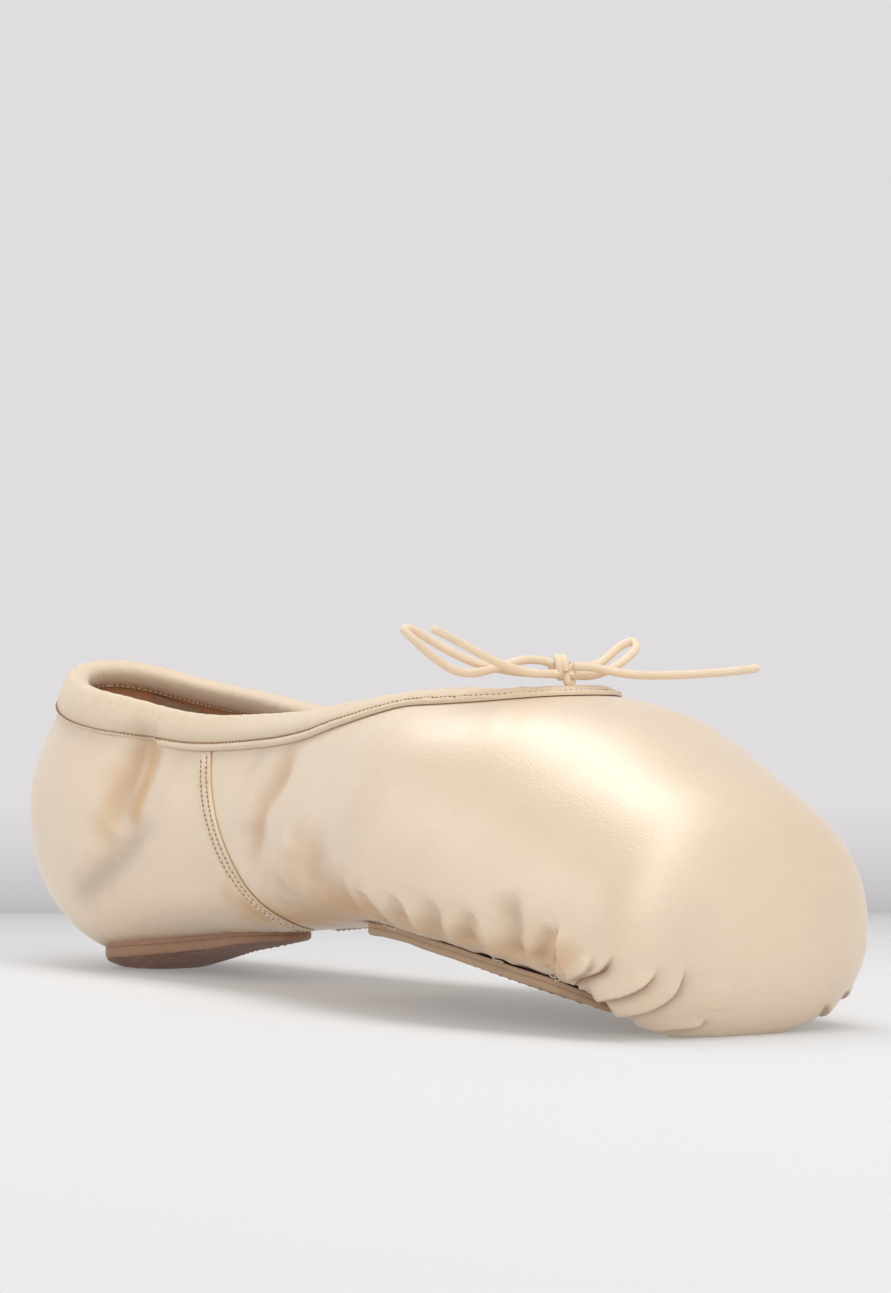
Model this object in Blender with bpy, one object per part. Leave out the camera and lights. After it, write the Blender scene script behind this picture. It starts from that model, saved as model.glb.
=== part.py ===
"""A satin pointe shoe, empty and unbent, standing on its heel sole and on the pleats under its toe box.

Metres, +Z up, +X toward the toe. The origin lies on the floor under the middle of the shoe.
The upper, the soles, the insole, the collar binding and the seam tapes all follow one last,
whose sections are worked out from the length, the ball width and the heights named below.
"""
from collections import namedtuple
from math import pi

import bmesh
import bpy
import numpy as np

# Driving sizes of the last
LENGTH = 0.238
BALL_WIDTH = 0.0737
HEEL_HEIGHT = 0.0753
INSTEP_HEIGHT = 0.0618
ARCH_HEIGHT = 0.0114

# Walls, soles and trims
QUARTER_WALL = 0.0016
BOX_WALL = 0.0030
SOLE_THICKNESS = 0.0023
INSOLE_THICKNESS = 0.0018
SOLE_OVERLAP = 0.0045
HEEL_BINDING_DEPTH = 0.0068
THROAT_BINDING_DEPTH = 0.0054
BINDING_THICKNESS = 0.0009
COLLAR_PULL = 0.0024
BINDING_RISE = 0.0017
SEAM_WIDTH = 0.0034
SEAM_THICKNESS = 0.0005
CORD_DIAMETER = 0.0016
GAP = 0.0004
LINING_GAP = 0.0007
SOLE_GAP = 0.0006

# Powers of the rounded lower half of a section and of the two end caps, and the caps' shares of the length
LOW_WIDTH_POWER = 2.5
LOW_POWER = 2.23
HEEL_CAP = 0.19
HEEL_POWER = 2.45
TIP_CAP = 0.07
TIP_POWER = 3.17
POLE_ROOM = 1e-9

# Grid of the upper: stations from heel pole to tip pole, steps over half the girth, and how
# the rows draw together toward the collar line so that they lie still lower down
HEEL_STATIONS = 6
COLLAR_STATIONS = 34
BOX_STATIONS = 17
GIRTH_STEPS = 14
FINE_STEPS = 90
RIM_POWER = 6.0
RIM_SLACK = 0.8
EVEN_SHARE = 0.12

# Cutters of the openings: how far they go below the floor, and up as a share of the way to the belly
CUTTER_DROP = 0.005
CUTTER_REACH = 0.55

# Sections of the last. share: of the length, from the heel. half_width: of half the ball width.
# sole: height of the sole's underside, of the arch height. lift: how much of the sole's
# thickness lifts the satin there. crown and belly: of the height of heel and instep.
# square: power of the upper half, 2 for an ellipse and more for a flat top with shoulders.
Section = namedtuple("Section", "share half_width sole lift crown belly square")
SECTIONS = [
    Section(0.000, 0.655, 0.26, 0.8, 1.000, 0.424, 2.05),
    Section(0.120, 0.630, -0.15, 1.0, 1.026, 0.356, 2.05),
    Section(0.250, 0.613, 0.36, 1.0, 1.018, 0.361, 2.05),
    Section(0.420, 0.654, 0.95, 0.2, 0.973, 0.439, 2.10),
    Section(0.560, 0.852, 0.98, 1.0, 0.964, 0.469, 2.50),
    Section(0.700, 0.998, 0.78, 1.0, 0.964, 0.442, 2.60),
    Section(0.840, 0.931, 0.35, 1.0, 0.908, 0.364, 2.20),
    Section(0.900, 0.868, 0.14, 1.0, 0.818, 0.324, 2.10),
    Section(0.918, 0.849, 0.06, 1.0, 0.788, 0.315, 2.10),
    Section(0.942, 0.825, -0.02, 0.0, 0.748, 0.305, 2.10),
    Section(1.000, 0.808, -0.09, 0.0, 0.658, 0.285, 2.10),
]

# The collar line. rise: how far up it lies from the belly to the crown
Collar = namedtuple("Collar", "share rise")
COLLAR = [
    Collar(0.000, 0.730),
    Collar(0.080, 0.600),
    Collar(0.200, 0.555),
    Collar(0.340, 0.575),
    Collar(0.420, 0.658),
    Collar(0.500, 0.767),
    Collar(0.560, 0.866),
    Collar(0.620, 0.940),
    Collar(0.690, 0.972),
    Collar(0.735, 1.000),
]

# Outlines of the soles and the insole. half_width: of half the ball width, before the ends are
# rounded. thickness: of the full thickness, less where the leather is pared.
Outline = namedtuple("Outline", "share half_width thickness")
FRONT_SOLE = [
    Outline(0.518, 0.40, 0.90),
    Outline(0.600, 0.46, 1.00),
    Outline(0.700, 0.63, 1.00),
    Outline(0.800, 0.70, 1.00),
    Outline(0.870, 0.68, 0.95),
    Outline(0.922, 0.60, 0.80),
]
HEEL_SOLE = [
    Outline(0.110, 0.38, 0.90),
    Outline(0.180, 0.37, 1.00),
    Outline(0.250, 0.26, 0.95),
    Outline(0.300, 0.23, 0.80),
    Outline(0.350, 0.21, 0.40),
]
INSOLE = [
    Outline(0.060, 0.42, 1.00),
    Outline(0.250, 0.42, 1.00),
    Outline(0.420, 0.43, 1.00),
    Outline(0.600, 0.58, 1.00),
    Outline(0.740, 0.70, 1.00),
    Outline(0.930, 0.60, 1.00),
]
FRONT_SOLE_ROUNDS = (0.050, 0.050)
HEEL_SOLE_ROUNDS = (0.040, 0.050)
INSOLE_ROUNDS = (0.080, 0.060)
SOLE_STATIONS = 18
SOLE_STEPS = 6

# Middle line of a side seam from its top to its foot, share: of the seam's own run.
# at: share of the length. up: share of the girth from the bottom line to the collar line.
SeamPoint = namedtuple("SeamPoint", "share at up")
SIDE_SEAM = [
    SeamPoint(0.000, 0.348, 0.88),
    SeamPoint(0.143, 0.361, 0.76),
    SeamPoint(0.286, 0.386, 0.60),
    SeamPoint(0.429, 0.413, 0.45),
    SeamPoint(0.571, 0.425, 0.34),
    SeamPoint(0.714, 0.424, 0.24),
    SeamPoint(0.857, 0.405, 0.13),
    SeamPoint(1.000, 0.384, 0.06),
]
SEAM_STATIONS = 15

# The bow's routes, millimetres from the origin, along each cord from the knot outwards
KNOT_MIDDLE = (56.0, -0.7, 63.9)
KNOT_RADII = (2.3, 1.7, 2.6)
LOOP_LEFT = [
    (55.6, -2.9, 65.0), (55.4, -5.1, 65.5), (55.0, -8.1, 65.6), (54.6, -11.6, 64.9), (54.0, -15.2, 63.9),
    (53.4, -19.0, 63.3), (52.8, -22.2, 63.8), (52.2, -25.1, 65.4), (51.6, -28.2, 67.8), (51.0, -30.6, 70.0),
    (50.2, -31.6, 71.2), (49.0, -30.2, 71.6), (48.6, -27.3, 70.6), (49.2, -24.2, 68.8), (50.2, -21.2, 67.1),
    (51.3, -17.9, 65.5), (52.3, -14.1, 64.3), (53.0, -9.8, 63.5), (53.5, -6.0, 63.1), (54.2, -2.7, 62.9),
]
LOOP_RIGHT = [
    (55.4, 1.5, 64.3), (55.0, 5.3, 64.1), (54.6, 9.0, 64.7), (54.1, 12.0, 66.4), (54.1, 14.5, 68.0),
    (54.8, 16.2, 68.6), (55.9, 16.3, 67.7), (56.7, 14.2, 66.0), (57.1, 11.4, 64.4), (57.2, 8.1, 63.1),
    (57.1, 4.9, 62.5), (56.6, 1.6, 62.6),
]
END_LEFT = [
    (57.4, -2.9, 63.0), (58.3, -8.2, 63.2), (59.2, -13.5, 64.2), (60.0, -18.2, 65.6), (60.8, -23.4, 67.7),
    (61.6, -28.7, 70.0), (62.4, -33.6, 71.9),
]
END_RIGHT = [
    (58.3, 0.6, 64.4), (59.6, 3.0, 64.2), (60.6, 6.6, 63.5), (61.6, 10.6, 62.8), (63.0, 16.9, 62.5),
    (64.6, 24.9, 62.7), (65.8, 32.0, 63.1), (66.4, 36.9, 63.6),
]
CORD_POINT_SPACING = 3.2
MILLIMETRE = 0.001


def column(rows, name, share):
    """One column of a table as a smooth curve, read at the given shares of the length."""
    knots = np.array([row.share for row in rows])
    values = np.array([getattr(row, name) for row in rows])
    slopes = np.gradient(values, knots)
    share = np.clip(share, knots[0], knots[-1])
    k = np.clip(np.searchsorted(knots, share, side="right") - 1, 0, len(knots) - 2)
    span = knots[k + 1] - knots[k]
    t = (share - knots[k]) / span
    return (
        (2 * t**3 - 3 * t**2 + 1) * values[k]
        + (t**3 - 2 * t**2 + t) * span * slopes[k]
        + (3 * t**2 - 2 * t**3) * values[k + 1]
        + (t**3 - t**2) * span * slopes[k + 1]
    )


def ease(value, low, high):
    """0 below low, 1 above high, smooth between."""
    t = np.clip((value - low) / (high - low), 0, 1)
    return t * t * (3 - 2 * t)


def section_sizes(share):
    """Half width, satin bottom, belly height and crown height of the section at a share of the length."""
    height = HEEL_HEIGHT + (INSTEP_HEIGHT - HEEL_HEIGHT) * ease(share, 0.1, 0.6)
    half = column(SECTIONS, "half_width", share) * BALL_WIDTH / 2
    lift = column(SECTIONS, "lift", share) * (SOLE_THICKNESS + SOLE_GAP)
    bottom = column(SECTIONS, "sole", share) * ARCH_HEIGHT + lift
    return half, bottom, column(SECTIONS, "belly", share) * height, column(SECTIONS, "crown", share) * height


def collar_pull(share, up):
    """How far the drawstring draws the collar in, at a share of the way from the belly to the crown."""
    return COLLAR_PULL * ease(up, 0.1, 0.6) * (1 - ease(share, 0.5, 0.72))


def wall(share):
    """Thickness of the upper: cloth and canvas at the quarters, a stiffened box at the toe."""
    return QUARTER_WALL + (BOX_WALL - QUARTER_WALL) * ease(share, 0.55, 0.85)


def caps(share):
    """How much the rounded heel and the flat tip take from a section: 0 between them, 1 at the poles."""
    heel = np.clip((HEEL_CAP - share) / HEEL_CAP, 0, None) ** HEEL_POWER
    tip = np.clip((share - 1 + TIP_CAP) / TIP_CAP, 0, None) ** TIP_POWER
    return heel + tip


def x_at(share):
    """Place along the shoe of a share of the length."""
    return (share - 0.5) * LENGTH


def share_at(x):
    """Share of the length at a place along the shoe."""
    return x / LENGTH + 0.5


def upper_width(share, half, pull):
    """Half width that the upper half's curve is drawn to, so that it meets the lower half in the rounded ends."""
    power = column(SECTIONS, "square", share)
    room = np.clip(1 - caps(share - pull / LENGTH), POLE_ROOM, 1)
    return (half - pull) * room ** (1 / LOW_WIDTH_POWER - 1 / power)


def upper_half(share, half, up):
    """How wide the upper half of a section is at a share of the way from the belly to the crown."""
    pull = collar_pull(share, up)
    power = column(SECTIONS, "square", share)
    room = 1 - caps(share - pull / LENGTH) - up**power
    return upper_width(share, half, pull) * np.clip(room, 0, 1) ** (1 / power)


def lower_half(share, half, down):
    """How wide the lower half of a section is at a share of the way from the belly to the bottom."""
    return half * np.clip(1 - caps(share) - down**LOW_POWER, 0, 1) ** (1 / LOW_WIDTH_POWER)


def closing(share):
    """How far up from the belly to the crown a section closes over the foot."""
    up = 1.0
    power = column(SECTIONS, "square", share)
    for _ in range(40):
        up = np.clip(1 - caps(share - collar_pull(share, up) / LENGTH), 0, 1) ** (1 / power)
    return up


def level(points):
    """Below zero inside the last, zero on its surface, above zero outside."""
    share = share_at(points[..., 0])
    half, bottom, belly, crown = section_sizes(share)
    above = points[..., 2] > belly
    up = np.clip((points[..., 2] - belly) / (crown - belly), 0, None)
    down = np.clip((belly - points[..., 2]) / (belly - bottom), 0, None)
    pull = collar_pull(share, up)
    power = column(SECTIONS, "square", share)
    y = np.abs(points[..., 1])
    high = (y / upper_width(share, half, pull)) ** power + up**power + caps(share - pull / LENGTH)
    low = (y / half) ** LOW_WIDTH_POWER + down**LOW_POWER + caps(share)
    return np.where(above, high, low) - 1


def slope(points):
    """Gradient of the level at each point."""
    step = 1e-5
    sides = [level(points + offset) - level(points - offset) for offset in np.eye(3) * step]
    return np.stack(sides, axis=-1) / (2 * step)


def normals(points):
    """Outward normals of the last's surface."""
    gradient = slope(points)
    return gradient / np.linalg.norm(gradient, axis=-1, keepdims=True)


def press(points):
    """Moves points near the last onto its surface."""
    for _ in range(6):
        gradient = slope(points)
        points = points - (level(points) / (gradient**2).sum(axis=-1))[..., None] * gradient
    return points


def down_from(points, along, distance):
    """Points at a distance from the collar line over the last's surface, square to the line."""
    steps = 4
    for _ in range(steps):
        way = np.cross(along, normals(points))
        way /= np.linalg.norm(way, axis=-1, keepdims=True)
        points = press(points + way * distance / steps)
    return points


def crossing(low, high):
    """The share between low and high where the collar line meets the middle line of the last."""
    def over(share):
        return column(COLLAR, "rise", share) - closing(share)

    rising = over(high) > over(low)
    for _ in range(60):
        middle = (low + high) / 2
        if (over(middle) > 0) == rising:
            high = middle
        else:
            low = middle
    return (low + high) / 2


HEEL_EDGE = crossing(0.0, 0.15)
THROAT = crossing(0.60, 0.735)


def stations():
    """Shares of the length at which the upper's grid is cut, closer together at poles, heel edge and throat."""
    heel = HEEL_EDGE * np.linspace(0, 1, HEEL_STATIONS + 1) ** 2
    even = np.linspace(0, 1, COLLAR_STATIONS + 1)
    turn = (1 - np.cos(even * pi)) / 2
    collar = HEEL_EDGE + (THROAT - HEEL_EDGE) * (even * EVEN_SHARE + turn * (1 - EVEN_SHARE))
    t = np.linspace(0, 1, BOX_STATIONS + 1)
    box = 1 - (1 - THROAT) * (1 - t**1.3) ** 1.7
    return np.concatenate([heel[:-1], collar, box[1:]])


def half_section(share):
    """Runs, widths and heights of the right-hand half of a section from its bottom, and the collar line's run."""
    half, bottom, belly, crown = section_sizes(share)
    closed_at = closing(share)
    turn = np.sin(np.linspace(0, pi / 2, FINE_STEPS + 1))
    down = turn[::-1] * np.clip(1 - caps(share), 0, 1) ** (1 / LOW_POWER)
    up = turn[1:] * closed_at
    y = -np.concatenate([lower_half(share, half, down), upper_half(share, half, up)])
    z = np.concatenate([belly - (belly - bottom) * down, belly + (crown - belly) * up])
    y[0] = 0
    y[-1] = 0
    run = np.concatenate([[0], np.cumsum(np.hypot(np.diff(y), np.diff(z)))])
    rise = column(COLLAR, "rise", share)
    is_open = HEEL_EDGE < share < THROAT and rise < closed_at
    rim = np.interp(rise, up, run[FINE_STEPS + 1 :]) if is_open else run[-1]
    return run, y, z, rim


def on_section(share, part):
    """The point at a part of the girth from the bottom to the collar line."""
    run, y, z, rim = half_section(share)
    return np.array([x_at(share), np.interp(part * rim, run, y), np.interp(part * rim, run, z)])


def girth(share):
    """The grid's points on a section, whose rows lie still low down and draw together toward the collar line."""
    run, y, z, rim = half_section(share)
    row = np.linspace(0, 1, GIRTH_STEPS + 1)
    full = run[-1]
    power = min(RIM_POWER, RIM_SLACK * full / max(full - rim, 1e-9))
    at = row * full - (full - rim) * row**power
    return np.stack([np.full(len(row), x_at(share)), np.interp(at, run, y), np.interp(at, run, z)], axis=-1)


def on_floor(points):
    """Lifts what would lie under the floor onto it, which makes the flat spots."""
    points = points.copy()
    points[..., 2] = np.maximum(points[..., 2], 0)
    return points


def underside(x, y):
    """Height of the upper's underside over a place on the floor."""
    share = share_at(x)
    half, bottom, belly, _ = section_sizes(share)
    room = np.clip(1 - caps(share) - np.abs(y / half) ** LOW_WIDTH_POWER, 0, 1)
    return belly - (belly - bottom) * room ** (1 / LOW_POWER)


def outline(rows, rounds, inset=0.0):
    """Stations and half widths of a sole outline with rounded ends, optionally drawn in all round."""
    low = rows[0].share + inset / LENGTH
    high = rows[-1].share - inset / LENGTH
    share = low + (high - low) * (1 - np.cos(np.linspace(0, pi, SOLE_STATIONS + 1))) / 2
    half = column(rows, "half_width", share) * BALL_WIDTH / 2 - inset
    back = np.clip((low + rounds[0] - share) / rounds[0], 0, 1)
    front = np.clip((share - high + rounds[1]) / rounds[1], 0, 1)
    return share, half * np.sqrt(np.clip(1 - back**2, 0, 1)) * np.sqrt(np.clip(1 - front**2, 0, 1))


def material(name, colour, roughness):
    """A plain finish from a linear colour and a roughness."""
    made = bpy.data.materials.new(name)
    made.use_nodes = True
    shader = made.node_tree.nodes["Principled BSDF"]
    shader.inputs["Base Color"].default_value = (*colour, 1)
    shader.inputs["Roughness"].default_value = roughness
    shader.inputs["Metallic"].default_value = 0
    made.diffuse_color = (*colour, 1)
    return made


def solid(name, vertices, faces, finish):
    """An object from vertices and faces, with equal vertices merged and the faces turned outward."""
    mesh = bpy.data.meshes.new(name)
    mesh.from_pydata([tuple(v) for v in vertices], [], faces)
    shape = bmesh.new()
    shape.from_mesh(mesh)
    bmesh.ops.remove_doubles(shape, verts=shape.verts, dist=1e-6)
    bmesh.ops.dissolve_degenerate(shape, edges=shape.edges, dist=1e-6)
    bmesh.ops.recalc_face_normals(shape, faces=shape.faces)
    shape.to_mesh(mesh)
    shape.free()
    mesh.shade_smooth()
    mesh.set_sharp_from_angle(angle=0.9)
    made = bpy.data.objects.new(name, mesh)
    mesh.materials.append(finish)
    bpy.context.scene.collection.objects.link(made)
    return made


def tube_of_sections(sections, closed):
    """Vertices and faces of a skin through sections of equal point counts, capped unless it closes on itself."""
    count, size = len(sections), len(sections[0])
    vertices = np.concatenate(sections)
    faces = []
    for i in range(count if closed else count - 1):
        after = (i + 1) % count
        for j in range(size):
            k = (j + 1) % size
            faces.append((i * size + j, after * size + j, after * size + k, i * size + k))
    if not closed:
        faces.append(tuple(range(size)))
        faces.append(tuple((count - 1) * size + j for j in range(size)))
    return vertices, faces


def make_upper(finish):
    """The hollow satin upper: outer and inner skins of the last's grid, joined along the collar line."""
    shares = stations()
    right = np.array([girth(share) for share in shares])
    left = right * np.array([1, -1, 1])
    outer = np.concatenate([left[:, :0:-1], right], axis=1)
    inner = outer - normals(outer) * wall(share_at(outer[..., 0]))[..., None]
    outer = on_floor(outer)
    rows, width = outer.shape[:2]
    vertices = np.concatenate([outer.reshape(-1, 3), inner.reshape(-1, 3)])
    first_inner = rows * width
    faces = []
    for i in range(rows - 1):
        for j in range(width - 1):
            a, b = i * width + j, i * width + j + 1
            c, d = b + width, a + width
            faces.append((a, b, c, d))
            faces.append(tuple(first_inner + v for v in (d, c, b, a)))
    for i in range(HEEL_STATIONS, HEEL_STATIONS + COLLAR_STATIONS):
        for j in (0, width - 1):
            a, b = i * width + j, (i + 1) * width + j
            faces.append((a, b, first_inner + b, first_inner + a))
    upper = solid("upper", vertices, faces, finish)
    for name, plan, rounds in (
        ("front_opening", FRONT_SOLE, FRONT_SOLE_ROUNDS),
        ("heel_opening", HEEL_SOLE, HEEL_SOLE_ROUNDS),
    ):
        cut = upper.modifiers.new(name, "BOOLEAN")
        cut.operation = "DIFFERENCE"
        cut.solver = "EXACT"
        cut.object = make_opening(name, plan, rounds)
    return upper


def make_opening(name, rows, rounds):
    """A cutter through the upper's floor, inside a sole's outline by the sole's overlap."""
    share, half = outline(rows, rounds, SOLE_OVERLAP)
    x = x_at(share)
    side = np.stack([x, -half], axis=-1)
    plan = np.concatenate([side, (side * [1, -1])[-2:0:-1]])
    _, bottom, belly, _ = section_sizes(share)
    top = float(np.max(bottom + (belly - bottom) * CUTTER_REACH))
    sections = [np.column_stack([plan, np.full(len(plan), height)]) for height in (-CUTTER_DROP, top)]
    vertices, faces = tube_of_sections(sections, False)
    cutter = solid(name, vertices, faces, material(name, (0.5, 0.5, 0.5), 1.0))
    cutter.hide_render = True
    cutter.display_type = "WIRE"
    return cutter


def slab(name, top, bottom, finish):
    """A closed plate between two grids of points whose end rows have run together."""
    rows, width = top.shape[:2]
    vertices = np.concatenate([top.reshape(-1, 3), bottom.reshape(-1, 3)])
    under = rows * width
    faces = []
    for i in range(rows - 1):
        for j in range(width - 1):
            a, b = i * width + j, i * width + j + 1
            faces.append((a, b, b + width, a + width))
            faces.append(tuple(under + v for v in (a + width, b + width, b, a)))
        for j in (0, width - 1):
            a, b = i * width + j, (i + 1) * width + j
            faces.append((a, b, under + b, under + a))
    return solid(name, vertices, faces, finish)


def plan_grid(rows, rounds):
    """Places on the floor that fill a sole outline, station by station."""
    share, half = outline(rows, rounds)
    across = np.sin(np.linspace(-pi / 2, pi / 2, SOLE_STEPS + 1))
    x = np.repeat(x_at(share)[:, None], len(across), axis=1)
    return x, half[:, None] * across


def make_sole(name, rows, rounds, finish):
    """A leather sole that follows the upper's underside and is flat where it would go under the floor."""
    x, y = plan_grid(rows, rounds)
    height = underside(x, y)
    thickness = SOLE_THICKNESS * column(rows, "thickness", share_at(x))
    top = np.stack([x, y, height - SOLE_GAP], axis=-1)
    bottom = on_floor(np.stack([x, y, height - SOLE_GAP - thickness], axis=-1))
    return slab(name, top, bottom, finish)


def make_insole(finish):
    """The insole lies on the upper's floor inside, with the wall and a gap under it."""
    x, y = plan_grid(INSOLE, INSOLE_ROUNDS)
    floor = np.stack([x, y, underside(x, y)], axis=-1)
    way = normals(floor)
    under = floor - way * (wall(share_at(x)) + LINING_GAP)[..., None]
    thickness = INSOLE_THICKNESS * column(INSOLE, "thickness", share_at(x))
    return slab("insole", under - way * thickness[..., None], under, finish)


def collar_loop():
    """The collar line as a closed loop of points, from the heel along the right side to the throat and back."""
    shares = stations()[HEEL_STATIONS : HEEL_STATIONS + COLLAR_STATIONS + 1]
    right = np.array([on_section(share, 1.0) for share in shares])
    left = right[-2:0:-1] * np.array([1, -1, 1])
    return np.concatenate([right, left])


def make_binding(finish):
    """The folded collar tape: a channel over the upper's edge, padded by the drawstring inside it."""
    line = collar_loop()
    along = np.roll(line, -1, axis=0) - np.roll(line, 1, axis=0)
    along /= np.linalg.norm(along, axis=-1, keepdims=True)
    narrowing = ease(share_at(line[:, 0]), 0.2, 0.5)[:, None]
    depth = HEEL_BINDING_DEPTH + (THROAT_BINDING_DEPTH - HEEL_BINDING_DEPTH) * narrowing
    rows = [line] + [down_from(line, along, depth * part) for part in (1 / 3, 2 / 3, 1)]
    ways = [normals(row) for row in rows]
    inside = wall(share_at(line[:, 0]))[:, None] + LINING_GAP
    up = np.cross(ways[0], along)
    thick = BINDING_THICKNESS
    edge, first, second, last = rows
    at_edge, at_first, at_second, at_last = ways
    rise = BINDING_RISE
    ring = [
        last + at_last * (GAP + thick * 0.45),
        second + at_second * (GAP + thick * 0.95),
        first + at_first * (GAP + thick * 1.1),
        edge + at_edge * (GAP + thick),
        edge + up * rise * 0.75 + at_edge * (GAP + thick * 0.5),
        edge + up * rise - at_edge * inside * 0.5,
        edge + up * rise * 0.75 - at_edge * (inside + thick * 0.5),
        edge - at_edge * (inside + thick),
        first - at_first * (inside + thick * 0.9),
        second - at_second * (inside + thick * 0.6),
        second - at_second * inside,
        first - at_first * inside,
        edge - at_edge * inside,
        edge + up * GAP - at_edge * inside,
        edge + up * GAP + at_edge * GAP,
        edge + at_edge * GAP,
        first + at_first * GAP,
        second + at_second * GAP,
        last + at_last * GAP,
    ]
    sections = list(np.stack(ring, axis=1))
    vertices, faces = tube_of_sections(sections, True)
    return solid("collar_binding", vertices, faces, finish)


def make_side_seam(name, side, finish):
    """A narrow tape over the join of vamp and heel panels, from the binding down to the heel sole."""
    run = np.linspace(0, 1, SEAM_STATIONS)
    places = zip(column(SIDE_SEAM, "at", run), column(SIDE_SEAM, "up", run))
    middle = np.array([on_section(at, up) for at, up in places]) * np.array([1, side, 1])
    middle = press(middle)
    along = np.gradient(middle, axis=0)
    across = np.cross(normals(middle), along)
    across /= np.linalg.norm(across, axis=-1, keepdims=True)
    edges = [press(middle + across * SEAM_WIDTH * part) for part in (-0.5, 0, 0.5)]
    low = [edge + normals(edge) * GAP for edge in edges]
    high = [edge + normals(edge) * (GAP + SEAM_THICKNESS) for edge in edges[::-1]]
    vertices, faces = tube_of_sections(list(np.stack(low + high, axis=1)), False)
    return solid(name, vertices, faces, finish)


def smooth_route(points):
    """Points at an even spacing along a smooth curve through the chosen points, in metres."""
    points = np.array(points, dtype=float)
    run = np.concatenate([[0], np.cumsum(np.linalg.norm(np.diff(points, axis=0), axis=1))])
    slopes = np.gradient(points, run, axis=0)
    read = np.linspace(0, run[-1], int(run[-1] / CORD_POINT_SPACING) + 2)
    k = np.clip(np.searchsorted(run, read, side="right") - 1, 0, len(run) - 2)
    span = (run[k + 1] - run[k])[:, None]
    t = (read - run[k])[:, None] / span
    curve = (
        (2 * t**3 - 3 * t**2 + 1) * points[k]
        + (t**3 - 2 * t**2 + t) * span * slopes[k]
        + (3 * t**2 - 2 * t**3) * points[k + 1]
        + (t**3 - t**2) * span * slopes[k + 1]
    )
    return curve * MILLIMETRE


def make_cord(name, points, finish):
    """A round drawstring cord along a smooth route, with flat filled ends."""
    curve = bpy.data.curves.new(name, "CURVE")
    curve.dimensions = "3D"
    route = smooth_route(points)
    spline = curve.splines.new("POLY")
    spline.points.add(len(route) - 1)
    for point, place in zip(spline.points, route):
        point.co = (*place, 1)
    curve.bevel_depth = CORD_DIAMETER / 2
    curve.bevel_resolution = 2
    curve.use_fill_caps = True
    curve.materials.append(finish)
    made = bpy.data.objects.new(name, curve)
    bpy.context.scene.collection.objects.link(made)
    return made


def make_knot(finish):
    """The bow's knot: a rounded lump on the binding at the throat."""
    mesh = bpy.data.meshes.new("drawstring_knot")
    shape = bmesh.new()
    bmesh.ops.create_uvsphere(shape, u_segments=12, v_segments=8, radius=1)
    bmesh.ops.scale(shape, vec=np.array(KNOT_RADII) * MILLIMETRE, verts=shape.verts)
    bmesh.ops.translate(shape, vec=np.array(KNOT_MIDDLE) * MILLIMETRE, verts=shape.verts)
    shape.to_mesh(mesh)
    shape.free()
    mesh.shade_smooth()
    mesh.materials.append(finish)
    made = bpy.data.objects.new("drawstring_knot", mesh)
    bpy.context.scene.collection.objects.link(made)
    return made


def main():
    """Clears the scene's objects and builds every piece of the shoe."""
    for thing in list(bpy.data.objects):
        bpy.data.objects.remove(thing)
    satin = material("peach_satin", (0.80, 0.66, 0.50), 0.42)
    leather = material("suede_leather", (0.43, 0.26, 0.16), 0.90)
    heel_leather = material("worn_heel_leather", (0.30, 0.15, 0.10), 0.80)
    board = material("insole_board", (0.62, 0.50, 0.36), 0.85)
    tape = material("collar_cotton", (0.82, 0.69, 0.52), 0.75)
    seam = material("seam_satin", (0.76, 0.62, 0.46), 0.50)
    cord = material("cotton_cord", (0.85, 0.70, 0.52), 0.80)
    make_upper(satin)
    make_sole("front_sole", FRONT_SOLE, FRONT_SOLE_ROUNDS, leather)
    make_sole("heel_sole", HEEL_SOLE, HEEL_SOLE_ROUNDS, heel_leather)
    make_insole(board)
    make_binding(tape)
    make_side_seam("side_seam_right", 1, seam)
    make_side_seam("side_seam_left", -1, seam)
    make_knot(cord)
    for name, points in (
        ("drawstring_loop_left", LOOP_LEFT),
        ("drawstring_loop_right", LOOP_RIGHT),
        ("drawstring_end_left", END_LEFT),
        ("drawstring_end_right", END_RIGHT),
    ):
        make_cord(name, points, cord)


main()
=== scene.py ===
"""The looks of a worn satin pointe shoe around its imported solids: satin, tape, leather, stitches and bow.

Metres, +Z up, +X toward the toe. Every piece follows the same last as the solids, whose sections
are worked out from the length in the frame and from the sizes and tables below.
"""

from collections import namedtuple
from math import cos, pi, radians, sin

import bmesh
import bpy
import numpy as np
from bpy.props import FloatProperty, FloatVectorProperty, PointerProperty
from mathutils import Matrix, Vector


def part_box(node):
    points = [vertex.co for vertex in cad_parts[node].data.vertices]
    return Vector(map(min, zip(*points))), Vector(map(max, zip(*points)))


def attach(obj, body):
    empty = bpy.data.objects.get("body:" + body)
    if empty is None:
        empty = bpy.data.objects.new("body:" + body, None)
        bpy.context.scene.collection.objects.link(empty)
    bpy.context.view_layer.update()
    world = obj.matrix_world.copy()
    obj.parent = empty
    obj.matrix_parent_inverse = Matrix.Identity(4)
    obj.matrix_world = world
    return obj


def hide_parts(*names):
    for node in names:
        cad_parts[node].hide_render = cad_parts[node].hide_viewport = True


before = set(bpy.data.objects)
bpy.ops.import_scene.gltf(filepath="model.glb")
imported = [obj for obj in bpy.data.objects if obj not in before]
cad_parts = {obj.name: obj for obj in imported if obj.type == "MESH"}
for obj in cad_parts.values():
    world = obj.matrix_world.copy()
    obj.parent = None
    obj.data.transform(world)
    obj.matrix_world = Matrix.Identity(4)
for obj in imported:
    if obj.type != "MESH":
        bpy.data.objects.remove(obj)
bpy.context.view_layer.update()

bl_info = {
    "name": "Pointe shoe",
    "version": (1, 0, 0),
    "blender": (4, 5, 0),
    "location": "3D View > Sidebar > Shoe",
    "description": "Satin, tape, leather, stitches and bow of a pointe shoe",
    "category": "Object",
}

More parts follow.
